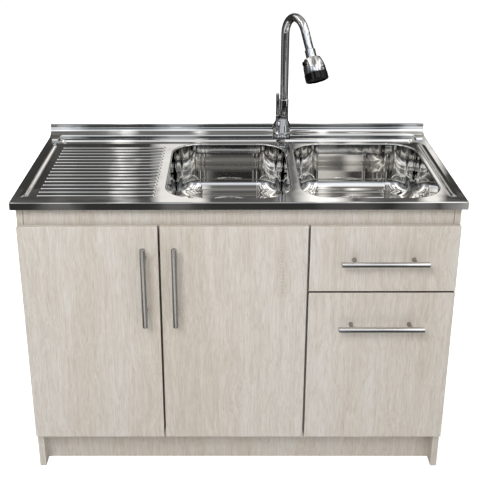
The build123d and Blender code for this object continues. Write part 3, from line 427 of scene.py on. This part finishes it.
class Mesh:
    """Vertices, normals and faces of one piece, gathered patch by patch."""

    def __init__(self):
        self.points, self.normals, self.faces = [], [], []

    def grid(self, points, normals, closed=False, under=None):
        """Quads over an array of rows by columns; under adds a second skin that far below."""
        rows, cols = points.shape[:2]
        start = sum(len(p) for p in self.points)
        self.points.append(points.reshape(-1, 3))
        self.normals.append(normals.reshape(-1, 3))
        i, j = np.meshgrid(np.arange(rows - 1), np.arange(cols if closed else cols - 1),
                           indexing="ij")
        following = (j + 1) % cols
        quads = np.stack([i * cols + j, (i + 1) * cols + j, (i + 1) * cols + following,
                          i * cols + following], -1).reshape(-1, 4) + start
        a, b, c = (points.reshape(-1, 3)[quads[:, k] - start] for k in range(3))
        facing = np.einsum("ij,ij->i", np.cross(b - a, c - b),
                           normals.reshape(-1, 3)[quads[:, 0] - start])
        if np.median(facing) < 0:
            quads = quads[:, ::-1]
        self.faces.append(quads)
        if under:
            self.grid(points - under * normals, -normals, closed)

    def build(self, name):
        points = np.concatenate(self.points) * MM
        normals = np.concatenate(self.normals)
        faces = np.concatenate(self.faces)
        data = bpy.data.meshes.new(name)
        data.from_pydata(points.tolist(), [], faces.tolist())
        data.shade_smooth()
        data.normals_split_custom_set_from_vertices(normals.tolist())
        piece = bpy.data.objects.new(name, data)
        bpy.context.scene.collection.objects.link(piece)
        return piece


def spaced(*stops):
    """Numbers from stop to stop: start, then (end, step) pairs."""
    values = [float(stops[0])]
    for end, step in stops[1:]:
        count = max(1, math.ceil((end - values[-1]) / step))
        values.extend(np.linspace(values[-1], end, count + 1)[1:])
    return np.array(values)


def deck_patch(mesh, xs, ys, lift=None, tilt=None):
    """Pressed deck over a grid; lift and tilt, one per row, bend it up into the cove."""
    x, y = np.meshgrid(xs, ys)
    lift = np.zeros(len(ys)) if lift is None else lift
    tilt = np.zeros(len(ys)) if tilt is None else tilt
    near = 0.02
    slope_x = (deck_height(x + near, y) - deck_height(x - near, y)) / (2 * near)
    slope_y = (deck_height(x, y + near) - deck_height(x, y - near)) / (2 * near)
    points = np.stack([x, y, DECK_Z + deck_height(x, y) + lift[:, None]], -1)
    level, upright = np.cos(tilt)[:, None], np.sin(tilt)[:, None]
    normals = np.stack([-slope_x * level, -slope_y * level - upright, level + 0 * x], -1)
    normals /= np.linalg.norm(normals, axis=-1, keepdims=True)
    mesh.grid(points, normals, under=SHEET)


def round_loop(half_x, half_y, corner):
    """Core points and outward directions of a rounded rectangle, anticlockwise from
    the middle of the right side's lower corner arc; offsetting keeps the directions."""
    arc_steps, straight_steps = 26, 10
    cores, outs = [], []
    quarter = math.pi / 2
    inner = ((half_x - corner, -(half_y - corner)), (half_x - corner, half_y - corner),
             (-(half_x - corner), half_y - corner), (-(half_x - corner), -(half_y - corner)))
    for side in range(4):
        centre = np.array(inner[side])
        after = np.array(inner[(side + 1) % 4])
        base = -quarter + side * quarter
        for k in range(arc_steps // 2):
            angle = base + quarter * (0.5 + k / arc_steps)
            cores.append(centre)
            outs.append((math.cos(angle), math.sin(angle)))
        angle = base + quarter
        for k in range(straight_steps):
            cores.append(centre + (after - centre) * k / straight_steps)
            outs.append((math.cos(angle), math.sin(angle)))
        for k in range(arc_steps // 2):
            spin = angle + quarter * k / arc_steps
            cores.append(after)
            outs.append((math.cos(spin), math.sin(spin)))
    return np.array(cores), np.array(outs)


def frame_loop(x0, x1, y0, y1, count):
    """The same number of points along a rectangle, in step with round_loop."""
    corners = ((x1, y0), (x1, y1), (x0, y1), (x0, y0))
    per_side = count // 4
    loop = []
    for side in range(4):
        start, end = np.array(corners[side]), np.array(corners[(side + 1) % 4])
        for k in range(per_side):
            loop.append(start + (end - start) * k / per_side)
    return np.array(loop)


def bowl_profile():
    """Rows of (offset outwards, height, out, up): rim to weld, and weld to floor."""
    rim = []
    reach = RIM * math.tan((math.pi / 2 - DRAFT) / 2)
    steps = 12
    for k in range(steps + 1):
        angle = math.pi / 2 + (math.pi / 2 - DRAFT) * k / steps
        rim.append((reach + RIM * math.cos(angle), -RIM + RIM * math.sin(angle),
                    math.cos(angle), math.sin(angle)))
    wall_end = BOWL_DEPTH - FLOOR_BEND
    centre = -math.tan(DRAFT) * wall_end - FLOOR_BEND / math.cos(DRAFT)
    top = rim[-1]
    bottom = (centre + FLOOR_BEND * math.cos(DRAFT), -wall_end - FLOOR_BEND * math.sin(DRAFT))

    def wall(t):
        return (top[0] + (bottom[0] - top[0]) * t, top[1] + (bottom[1] - top[1]) * t,
                -math.cos(DRAFT), math.sin(DRAFT))

    weld = (top[1] + SEAM) / (top[1] - bottom[1])
    rim.append(wall(weld))
    below = [wall(t) for t in np.linspace(weld, 1, 9)[:-1]]
    steps = 22
    for k in range(steps + 1):
        angle = DRAFT + (math.pi / 2 - DRAFT) * k / steps
        below.append((centre + FLOOR_BEND * math.cos(angle),
                      -wall_end - FLOOR_BEND * math.sin(angle), -math.cos(angle), math.sin(angle)))
    return rim, below


def ring_patch(mesh, middle, cores, outs, profile):
    """Profile rows carried round the bowl's outline."""
    rows, normals = [], []
    for offset, height, out, up in profile:
        flat = middle + cores + outs * (BOWL_CORNER + offset)
        rows.append(np.column_stack([flat, np.full(len(flat), DECK_Z + height)]))
        normals.append(np.column_stack([outs * out, np.full(len(flat), up)]))
    mesh.grid(np.array(rows), np.array(normals), closed=True, under=SHEET)


def bowl_patch(deck, bowl, x, half_x, cell):
    """Rim and its flat surround go into the deck's mesh, the rest into the bowl's."""
    cores, outs = round_loop(half_x, BOWL_HALF_Y, BOWL_CORNER)
    middle = np.array((x, BOWL_Y))
    rim_rows, wall_rows = bowl_profile()
    ring_patch(deck, middle, cores, outs, rim_rows)
    ring_patch(bowl, middle, cores, outs, wall_rows)

    up = np.tile((0.0, 0.0, 1.0), (len(cores), 1))
    rim = middle + cores + outs * (BOWL_CORNER + rim_rows[0][0])
    outer = frame_loop(*cell, len(cores))
    rows = [np.column_stack([rim + (outer - rim) * t, np.full(len(rim), DECK_Z)])
            for t in np.linspace(0, 1, 5)]
    deck.grid(np.array(rows), np.array([up] * len(rows)), closed=True, under=SHEET)

    edge = middle + cores + outs * (BOWL_CORNER + wall_rows[-1][0])
    hub = np.array((x, WASTE_Y))
    ray = edge - hub
    distance = np.linalg.norm(ray, axis=1, keepdims=True)
    ray = ray / distance
    lip = 7.0
    floor_rows, floor_normals = [], []
    for t in np.linspace(0, 1, 9):
        reach = distance + (DISH_RADIUS + lip - distance) * t
        flat = hub + ray * reach
        floor_rows.append(np.column_stack([flat, np.full(len(flat), DECK_Z - BOWL_DEPTH)]))
        floor_normals.append(up)
    for t in np.linspace(0, 1, 9)[1:]:
        flat = hub + ray * (DISH_RADIUS + lip * (1 - t) - t)
        drop = DISH * float(ease(t))
        slope = DISH * 30 * t * t * (1 - t) ** 2 / (lip + 1)
        floor_rows.append(np.column_stack([flat, np.full(len(flat), DECK_Z - BOWL_DEPTH - drop)]))
        tilt = np.column_stack([-ray * slope, np.ones(len(flat))])
        floor_normals.append(tilt / np.linalg.norm(tilt, axis=1, keepdims=True))
    flat = hub + ray * WASTE_BORE
    floor_rows.append(np.column_stack([flat, np.full(len(flat), DECK_Z - BOWL_DEPTH - DISH)]))
    floor_normals.append(up)
    bowl.grid(np.array(floor_rows), np.array(floor_normals), closed=True, under=SHEET)


def swept_patch(mesh, path, outs, profile):
    """Profile rows (offset, height, out, up) carried along a path in plan."""
    rows, normals = [], []
    for offset, height, out, up in profile:
        flat = path + outs * offset
        rows.append(np.column_stack([flat, np.full(len(flat), height)]))
        normals.append(np.column_stack([outs * out, np.full(len(flat), up)]))
    mesh.grid(np.array(rows), np.array(normals))


def skirt_profile():
    """Turned-down edge and its hem, from the deck outwards and down."""
    rows = []
    steps = 8
    for k in range(steps + 1):
        angle = math.pi / 2 * (1 - k / steps)
        rows.append((EDGE * math.cos(angle), DECK_Z - EDGE + EDGE * math.sin(angle),
                     math.cos(angle), math.sin(angle)))
    foot = 1.0
    for k in range(5):
        angle = -math.pi / 2 * k / 4
        rows.append((EDGE - foot + foot * math.cos(angle), APRON_Z + foot + foot * math.sin(angle),
                     math.cos(angle), math.sin(angle)))
    rows.append((EDGE - HEM, APRON_Z, 0.0, -1.0))
    rows.append((EDGE - HEM, APRON_Z + SHEET, -1.0, 0.0))
    rows.append((EDGE - SHEET, APRON_Z + SHEET, -1.0, 0.0))
    rows.append((EDGE - SHEET, DECK_Z - EDGE, -1.0, 0.0))
    return rows


def upstand_profile():
    """Depth, height and normal of the face, the top and the back."""
    rows = [(UPSTAND_FACE, DECK_Z + COVE, -1.0, 0.0)]
    r = UPSTAND_ROUND
    for centre, start in ((UPSTAND_FACE + r, math.pi), (Y_BACK - r, math.pi / 2)):
        for k in range(6):
            angle = start - math.pi / 2 * k / 5
            rows.append((centre + r * math.cos(angle), UPSTAND_Z - r + r * math.sin(angle),
                         math.cos(angle), math.sin(angle)))
    rows.append((Y_BACK, APRON_Z, 1.0, 0.0))
    return rows


def make_sink_top():
    """The deck, its edge and upstand, and the bowls; grid lines are close where they bend."""
    mesh = Mesh()
    left, web, right = CELL_X
    flat_edge = HALF_X - EDGE
    ridge_start, ridge_end = RIDGES[0] - 10, RIDGES[1] + 10
    xs = spaced(-flat_edge, (-555, 1.5), (ridge_start, 4), (ridge_start + 13, 1.2),
                (ridge_end - 13, 14), (ridge_end, 1.2), (left, 4))
    # grid lines across one ridge
    lines = (-13.2, -9.5, -7.2, -5.4, -4.8, -4.3, -3.8, -3.3, -2.8, -2.2, -1.2, 0.0,
             1.2, 2.2, 2.8, 3.3, 3.8, 4.3, 4.8, 5.4, 7.2, 9.5)
    rows = [RIDGES[2] - k * RIDGES[3] for k in range(RIDGES[4])]
    ys = [row + step for row in rows[::-1] for step in lines]
    ys = np.array([CELL_FRONT, CELL_FRONT + 19] + ys + [RIDGES[2] + 14, RIDGES[2] + 30, CELL_BACK])
    deck_patch(mesh, xs, ys)
    ys = spaced(CELL_FRONT, (-240, 1.5), (150, 15), (184, 1.5), (CELL_BACK, 6))
    deck_patch(mesh, spaced(right, (556, 4), (flat_edge, 1.3)), ys)
    xs = spaced(-flat_edge, (-530, 1.8), (530, 25), (flat_edge, 1.8))
    ys = spaced(CELL_BACK, (220, 4), (228, 0.5), (UPSTAND_FACE - COVE, 3))
    deck_patch(mesh, xs, ys)
    bend = np.linspace(0, math.pi / 2, 33)
    xs = np.concatenate([[-HALF_X], xs, [HALF_X]])
    deck_patch(mesh, xs, UPSTAND_FACE - COVE + COVE * np.sin(bend),
               COVE - COVE * np.cos(bend), bend)
    left_bowl, right_bowl = Mesh(), Mesh()
    bowl_patch(mesh, left_bowl, *BOWLS[0], (left, web, CELL_FRONT, CELL_BACK))
    bowl_patch(mesh, right_bowl, *BOWLS[1], (web, right, CELL_FRONT, CELL_BACK))

    turn = 0.5                 # radius of the front corners in plan
    path, outs = [], []
    for x in (-1, 1):
        corner = np.array((x * (flat_edge - turn), CELL_FRONT + turn))
        arc = [(-math.pi / 2 if x > 0 else math.pi) + math.pi / 2 * k / 6 for k in range(7)]
        arms = [(corner + turn * np.array((math.cos(a), math.sin(a))),
                 (math.cos(a), math.sin(a))) for a in arc]
        end = (np.array((x * flat_edge, Y_BACK)), (x, 0.0))
        for point, out in ([end] + arms if x < 0 else arms + [end]):
            path.append(point)
            outs.append(out)
    swept_patch(mesh, np.array(path), np.array(outs, float), skirt_profile())

    profile = upstand_profile()
    ends = (-HALF_X, HALF_X)
    rows = np.array([[(x, y, z) for x in ends] for y, z, _, _ in profile])
    normals = np.array([[(0.0, out, up) for _ in ends] for _, _, out, up in profile])
    mesh.grid(rows, normals)
    for x in ends:
        side = (math.copysign(1.0, x), 0.0, 0.0)
        bent = [(UPSTAND_FACE - COVE + COVE * math.sin(a), DECK_Z + COVE - COVE * math.cos(a))
                for a in bend]
        outline = bent + [row[:2] for row in profile[:-1]]
        upper = [(x, y, z) for y, z in outline]
        lower = [(x, y, DECK_Z - EDGE) for y, z in outline]
        rows = np.array([upper, lower])
        mesh.grid(rows, np.array([[side] * len(upper)] * 2))
    for made, name, node in ((mesh, "pressed_deck", "sink_top"),
                             (left_bowl, "drawn_left_bowl", "left_bowl"),
                             (right_bowl, "drawn_right_bowl", "right_bowl")):
        piece = made.build(name)
        dress(piece, sheet_steel if node == "sink_top" else drawn_steel)
        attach(piece, "cabinet")
        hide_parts(node)


# ------------------------------------------------------------------ fronts (millimetres)
FRONT_INSET, FRONT_ROUND = 1.1, 1.8
SEAM_WIDTH, SEAM_DEPTH = 1.1, 0.6


def make_fronts():
    """Doors and drawer fronts with softly rounded edges, a little inside their solids."""
    for name in ("left_door", "middle_door", "top_drawer_front", "deep_drawer_front"):
        node = nodes[name]
        low, high = box(node)
        inset = np.array((FRONT_INSET, 0, FRONT_INSET)) * MM
        low, high = low + inset, high - inset
        bpy.ops.mesh.primitive_cube_add(size=1)
        piece = bpy.context.object
        piece.name = f"{name}_panel"
        for vertex in piece.data.vertices:
            vertex.co = Vector([low[k] if vertex.co[k] < 0 else high[k] for k in range(3)])
        rounding = piece.modifiers.new("edges", "BEVEL")
        rounding.width = FRONT_ROUND * MM
        rounding.segments = 4
        rounding.limit_method = "ANGLE"
        bpy.ops.object.modifier_apply(modifier="edges")
        piece.data.shade_smooth()
        keep = piece.modifiers.new("normals", "WEIGHTED_NORMAL")
        keep.keep_sharp = False
        bpy.ops.object.modifier_apply(modifier="normals")
        dress(piece, node.data.materials[0])
        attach(piece, name.replace("_front", ""))
        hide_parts(name)


def make_seams():
    """Dark strips of painted shade in the joints between the front rail and the side panels."""
    low, high = box(nodes["front_rail"])
    # painted shade: dark brown strips stand in for the shade in the joints' cracks
    made, _, _ = material("joint_shade", 0.0, 0.7, srgb(58, 50, 43))
    for label, x in (("left", low[0]), ("right", high[0])):
        bpy.ops.mesh.primitive_cube_add(size=1, location=(x, low[1], (low[2] + high[2]) / 2))
        piece = bpy.context.object
        piece.name = f"rail_shade_strip_{label}"
        piece.scale = (SEAM_WIDTH * MM, SEAM_DEPTH * MM, high[2] - low[2])
        bpy.ops.object.transform_apply(location=True, rotation=True, scale=True)
        dress(piece, made)
        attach(piece, "cabinet")


# ------------------------------------------------------------------ handles (millimetres)
BAR_RADIUS, BAR_EASE = 7.3, 1.4
POST_RADIUS, POST_CORE = 5.8, 5.0  # visible radius, and the solid's


def turned(axis, profile, count):
    """Points and normals of rows (radius, place along, out, along) turned round an axis."""
    turns = np.linspace(0, 2 * math.pi, count, endpoint=False)
    side, other = [(1, 2), (0, 2), (0, 1)][axis]
    points = np.zeros((len(profile), count, 3))
    normals = np.zeros_like(points)
    for row, (r, h, out, up) in enumerate(profile):
        points[row, :, side], points[row, :, other] = r * np.cos(turns), r * np.sin(turns)
        points[row, :, axis] = h
        normals[row, :, side], normals[row, :, other] = out * np.cos(turns), out * np.sin(turns)
        normals[row, :, axis] = up
    return points, normals


def make_posts(name, bar_y):
    """Two round posts, a little flared at the front they stand on."""
    low, high = (corner * 1000 for corner in box(nodes[f"{name}_handle_posts"]))
    axis = 0 if high[0] - low[0] > high[2] - low[2] else 2
    profile = [(POST_RADIUS + 0.8, high[1], 1.0, 0.0),
               (POST_RADIUS + 0.8, high[1] - 0.8, 1.0, 0.0),
               (POST_RADIUS + 0.3, high[1] - 1.8, 1.0, -0.5),
               (POST_RADIUS, high[1] - 3.5, 1.0, 0.0), (POST_RADIUS, bar_y, 1.0, 0.0)]
    points, normals = turned(1, profile, 32)
    normals /= np.linalg.norm(normals, axis=-1, keepdims=True)
    mesh = Mesh()
    for end in (low[axis] + POST_CORE, high[axis] - POST_CORE):
        middle = (low + high) / 2
        middle[axis] = end
        middle[1] = 0
        mesh.grid(points + middle, normals, closed=True)
    piece = mesh.build(f"{name}_posts")
    dress(piece, shaded_post_steel)
    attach(piece, name)
    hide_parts(f"{name}_handle_posts")


def make_bars():
    """Handle bars with eased, slightly domed ends, each in its solid's place."""
    for name in ("left_door", "middle_door", "top_drawer", "deep_drawer"):
        node = nodes[f"{name}_handle_bar"]
        low, high = (corner * 1000 for corner in box(node))
        axis = int(np.argmax(high - low))
        middle, half = (low + high) / 2, (high - low)[axis] / 2
        profile = [(0.0, half, 0.0, 1.0), (3.2, half - 0.25, 0.12, 0.99),
                   (5.2, half - 0.9, 0.4, 0.92)]
        for k in range(5):
            angle = math.radians(60 - 15 * k)
            profile.append((BAR_RADIUS - BAR_EASE + BAR_EASE * math.cos(angle),
                            half - 2.2 + BAR_EASE * math.sin(angle),
                            math.cos(angle), math.sin(angle)))
        profile += [(r, -h, out, -up) for r, h, out, up in profile[::-1]]
        points, normals = turned(axis, profile, 48)
        mesh = Mesh()
        middle[1] = low[1] + BAR_RADIUS
        mesh.grid(points + middle, normals, closed=True)
        piece = mesh.build(f"{name}_bar")
        dress(piece, node.data.materials[0])
        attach(piece, name)
        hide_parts(f"{name}_handle_bar")
        make_posts(name, low[1] + BAR_RADIUS)


# ------------------------------------------------------------------ studio
# Glow of the reflector dome, in degrees. A strip is (centre, half width, soft edge, level)
# across, from -90 left to 90 right. A reach is (angle, share) over the top: 0 is the horizon
# behind the unit, 90 overhead, 180 the horizon in front, and negative angles are below.
BASE = ((-180, 0.06), (-165, 0.045), (-140, 0.04), (-90, 0.06), (-20, 0.05), (0, 0.05),
        (14, 0.055), (21.4, 0.058), (21.8, 0.15), (22.5, 0.15), (23.2, 0.05), (50, 0.05),
        (64, 0.22), (88, 0.22), (124, 0.18), (155, 0.10), (180, 0.06))
COOL = ((-180, 1.0), (-170, 0.2), (110, 0.0), (140, 1.0), (180, 1.0))  # share of cool light
WARM_LIGHT, COOL_LIGHT = (1.0, 0.975, 0.94), (0.90, 0.94, 1.0)
REFLECTORS = (
    # low behind: streaks on the flat of the deck
    (((-11.74, 0.2, 0.4, 0.05), (-3.45, 1.45, 0.35, 1.05), (3.7, 0.15, 0.5, 0.35),
      (6.35, 1.05, 0.9, 1.35), (9.4, 0.2, 0.4, 0.14), (13.7, 0.4, 0.6, 1.1)),
     ((10, 0.0), (16, 0.5), (19, 1.0), (24, 1.0), (36, 0.4), (60, 0.0))),
    # one tall light: the bright patch on the drainer's ridges and the deck's front
    (((-7.55, 0.2, 0.75, 1.15),),
     ((21.4, 0.0), (21.8, 0.6), (22.5, 0.6), (23.0, 0.0), (62, 0.0), (74, 1.0), (124, 1.0),
      (150, 0.5), (156, 0.0))),
    # dim walls on both sides: corners of the bowls
    (((-35.5, 19.5, 1.0, 0.33), (33.5, 21.5, 1.0, 0.33)),
     ((24, 0.0), (36, 1.0), (118, 1.0), (126, 1.6), (150, 1.4), (160, 0.0))),
    # in front: cove, ledge, upstand and apron
    (((-11.8, 0.5, 1.0, 1.0), (-3.6, 0.5, 1.2, 0.8), (8.0, 0.9, 1.6, 0.35),
      (12.8, 0.4, 1.0, 1.0)),
     ((-180, 0.7), (-170, 0.5), (-163, 0.22), (-155, 0.10), (-150, 0.0), (118, 0.0),
      (135, 0.5), (160, 0.7), (180, 0.7))),
    # tall cards left and right: the tap's upright stripes
    (((-44.5, 4.0, 1.5, 1.0), (20.5, 0.8, 0.6, 0.6), (43, 4.0, 1.5, 1.0)),
     ((24, 0.0), (34, 0.5), (48, 0.6), (64, 1.0), (70, 1.8), (122, 1.8), (134, 0.8),
      (148, 0.5), (160, 0.0))),
    # far to the sides: the two beads
    (((-76, 1.2, 0.8, 1.5), (-66, 1.0, 0.6, 1.8), (-56, 1.0, 0.6, 1.5),
      (56, 1.0, 0.6, 1.5), (66, 1.0, 0.6, 1.8), (76, 1.2, 0.8, 1.5)),
     ((44, 0.0), (52, 1.0), (64, 1.0), (70, 0.15), (130, 0.15), (140, 0.0))),
    # overhead: streaks on the bowls' walls
    (((-34, 2.0, 1.2, 1.3), (-27, 1.0, 0.8, 1.9), (-16, 0.8, 0.6, 1.5),
      (-2.15, 0.1, 0.25, 1.2), (6.3, 0.12, 0.25, 1.2), (14.5, 0.8, 0.6, 1.5),
      (23, 1.0, 0.8, 1.9), (31, 2.0, 1.2, 1.3)),
     ((88, 0.0), (94, 1.0), (126, 1.0), (132, 0.0))),
    # behind and overhead: the bowls' back walls
    (((-0.5, 3.6, 0.6, 0.12), (6.5, 0.3, 0.5, 0.5), (8.6, 0.25, 0.5, 1.35)),
     ((24, 0.0), (29, 1.0), (95, 1.0), (104, 0.0))),
    # below the front horizon: the upright tube and bars
    (((-68, 10, 4, 0.25), (22, 5, 3, 0.75), (50, 9, 4, 0.33), (74, 6, 3, 0.16)),
     ((-180, 1.0), (-150, 1.0), (-120, 0.6), (-60, 0.3), (-20, 0.0), (165, 0.0), (172, 1.0),
      (180, 1.0))),
    # high in front, left and right: the bowls' bends and the upstand
    (((-9.0, 11.5, 1.0, 1.0),),
     ((-180, 0.60), (-175, 0.60), (-171, 0.0), (126, 0.0), (136, 0.85), (150, 1.15),
      (155, 0.0), (170, 0.0), (174, 0.60), (180, 0.60))),
    (((12.5, 9.0, 1.0, 1.0),),
     ((-180, 0.60), (-175, 0.60), (-171, 0.0), (113, 0.0), (119, 1.1), (140, 1.15),
      (150, 0.7), (154, 0.0), (170, 0.0), (174, 0.60), (180, 0.60))),
)
DOME_RADIUS, DOME_HEIGHT = 40, 0.85
CARD_AT, CARD_SIZE, CARD_GLOW = (-0.89, -1.48, 0.01), (2.62, 0.8), 0.8
AMBIENT = 0.20                 # the world's strength on the object
LAMPS = (                      # name, place, target, width, height, watts
    ("key", (-1.1, -3.0, 3.3), (0, -0.2, 0.6), 1.6, 1.4, 95),
    ("fill", (2.4, -3.4, 1.6), (0, 0, 0.6), 2.2, 2.2, 26),
    ("top", (0, -0.6, 3.8), (0, 0, 0.8), 2.6, 1.8, 40),
    ("rear", (-1.4, 3.6, 2.6), (0, 0.3, 0.5), 2.4, 2.0, 75),
)


def ramp(tree, value, stops):
    """Grey curve through (position, level) stops."""
    item = add(tree, "ShaderNodeValToRGB", None, Fac=value)
    elements = item.color_ramp.elements
    while len(elements) > 1:
        elements.remove(elements[-1])
    elements[0].position = stops[0][0]
    elements[0].color = (*(stops[0][1],) * 3, 1.0)
    for position, level in stops[1:]:
        elements.new(position).color = (*(level,) * 3, 1.0)
    return item.outputs[0]


def band(centre, half, soft, level):
    """Ramp stops, in degrees, for one light strip."""
    return ((centre - half - soft, 0.0), (centre - half, level),
            (centre + half, level), (centre + half + soft, 0.0))


def only_reflected(piece):
    """Glossy rays alone see the piece."""
    piece.visible_camera = False
    piece.visible_diffuse = False
    piece.visible_shadow = False
    piece.visible_volume_scatter = False


def make_reflectors():
    """Far dome of dark cards and long strip lights; only polished metal sees it."""
    bpy.ops.mesh.primitive_uv_sphere_add(segments=64, ring_count=32, radius=DOME_RADIUS,
                                         location=(0, 0, DOME_HEIGHT))
    dome = bpy.context.object
    dome.name = "reflector_dome"
    made = bpy.data.materials.new("reflector_dome")
    made.use_nodes = True
    tree = made.node_tree
    tree.nodes.clear()
    coord = add(tree, "ShaderNodeTexCoord").outputs["Object"]
    unit = add(tree, "ShaderNodeVectorMath", {"operation": "NORMALIZE"}, i0=coord).outputs[0]
    axes = add(tree, "ShaderNodeSeparateXYZ", None, Vector=unit)
    turn = math_node(tree, "ARCSINE", axes.outputs["X"])
    turn = math_node(tree, "MULTIPLY_ADD", turn, 1 / math.pi)
    turn.node.inputs[2].default_value = 0.5
    lift = math_node(tree, "ARCTAN2", axes.outputs["Z"], axes.outputs["Y"])
    lift = math_node(tree, "MULTIPLY_ADD", lift, 0.5 / math.pi)
    lift.node.inputs[2].default_value = 0.5

    def across(strips):
        stops = [stop for strip in strips for stop in band(*strip)]
        return ramp(tree, turn, [((d + 90) / 180, level) for d, level in stops])

    def over(stops):
        return ramp(tree, lift, [((d + 180) / 360, level) for d, level in stops])

    total = over(BASE)
    for strips, reach in REFLECTORS:
        share = math_node(tree, "MULTIPLY", across(strips), over(reach))
        total = math_node(tree, "ADD", total, share)
    cool = over(COOL)
    tint = mix(tree, cool, WARM_LIGHT, COOL_LIGHT)
    shine = add(tree, "ShaderNodeEmission", None, Color=tint, Strength=total)
    out = add(tree, "ShaderNodeOutputMaterial")
    tree.links.new(shine.outputs[0], out.inputs["Surface"])
    dress(dome, made)
    only_reflected(dome)


def make_card():
    """Pale card in front of the unit; only glossy rays see it, so the handles' bars shine."""
    bpy.ops.mesh.primitive_plane_add(size=1, location=CARD_AT)
    card = bpy.context.object
    card.name = "reflector_card"
    card.scale = (*CARD_SIZE, 1.0)
    made = bpy.data.materials.new("reflector_card")
    made.use_nodes = True
    tree = made.node_tree
    tree.nodes.clear()
    glow = add(tree, "ShaderNodeEmission", None, Color=(1.0, 0.98, 0.95, 1.0),
               Strength=CARD_GLOW)
    out = add(tree, "ShaderNodeOutputMaterial")
    tree.links.new(glow.outputs[0], out.inputs["Surface"])
    dress(card, made)
    only_reflected(card)


def make_floor():
    bpy.ops.mesh.primitive_plane_add(size=30, location=(0, 0, 0))
    floor = bpy.context.object
    floor.name = "floor"
    made, tree, shader = material("floor", 0.0, 0.9, (0.86, 0.86, 0.855))
    cloud = noise(tree, stretched(tree, (3, 3, 3)), 3.0)
    shade = mix(tree, remap(tree, cloud, 0.3, 0.7), (0.87, 0.87, 0.865), (0.85, 0.85, 0.845))
    tree.links.new(shade, shader.inputs["Base Color"])
    seen = add(tree, "ShaderNodeLightPath").outputs["Is Camera Ray"]
    shader.inputs["Emission Color"].default_value = (1.0, 1.0, 1.0, 1.0)
    tree.links.new(math_node(tree, "MULTIPLY", seen, 0.8), shader.inputs["Emission Strength"])
    dress(floor, made)
    floor.visible_glossy = False


def make_world():
    world = bpy.data.worlds.new("studio")
    bpy.context.scene.world = world
    world.use_nodes = True
    tree = world.node_tree
    back = tree.nodes["Background"]
    back.inputs["Color"].default_value = (1.0, 1.0, 1.0, 1.0)
    path = add(tree, "ShaderNodeLightPath").outputs
    seen = math_node(tree, "MAXIMUM", path["Is Camera Ray"], path["Is Glossy Ray"])
    seen = math_node(tree, "MAXIMUM", seen, path["Is Transmission Ray"])
    strength = remap(tree, seen, 0.0, 1.0, AMBIENT, 1.0)
    tree.links.new(strength, back.inputs["Strength"])


def area_light(name, place, target, width, height, power):
    data = bpy.data.lights.new(name, "AREA")
    data.shape = "RECTANGLE"
    data.size = width
    data.size_y = height
    data.energy = power
    lamp = bpy.data.objects.new(name, data)
    bpy.context.scene.collection.objects.link(lamp)
    lamp.location = place
    aim = Vector(target) - Vector(place)
    lamp.rotation_euler = aim.to_track_quat("-Z", "Y").to_euler()
    lamp.visible_glossy = False


def make_lights():
    for lamp in LAMPS:
        area_light(*lamp)


make_camera()
sheet_steel = polished_sheet("polished_steel", (0.72, 0.715, 0.70), 0.035, 0.0004)
drawn_steel = polished_sheet("drawn_steel", (0.70, 0.695, 0.68), 0.03, 0.00006)
dress_nodes()
# painted shade: the handle posts get a darker copy of the satin steel
shaded_post_steel = brushed("satin_steel_post_shaded", (0.40, 0.39, 0.37), 0.3, 1)
make_sink_top()
make_fronts()
make_seams()
make_bars()
make_reflectors()
make_card()
make_floor()
make_world()
make_lights()
scene = bpy.context.scene
scene.view_settings.view_transform = "Standard"
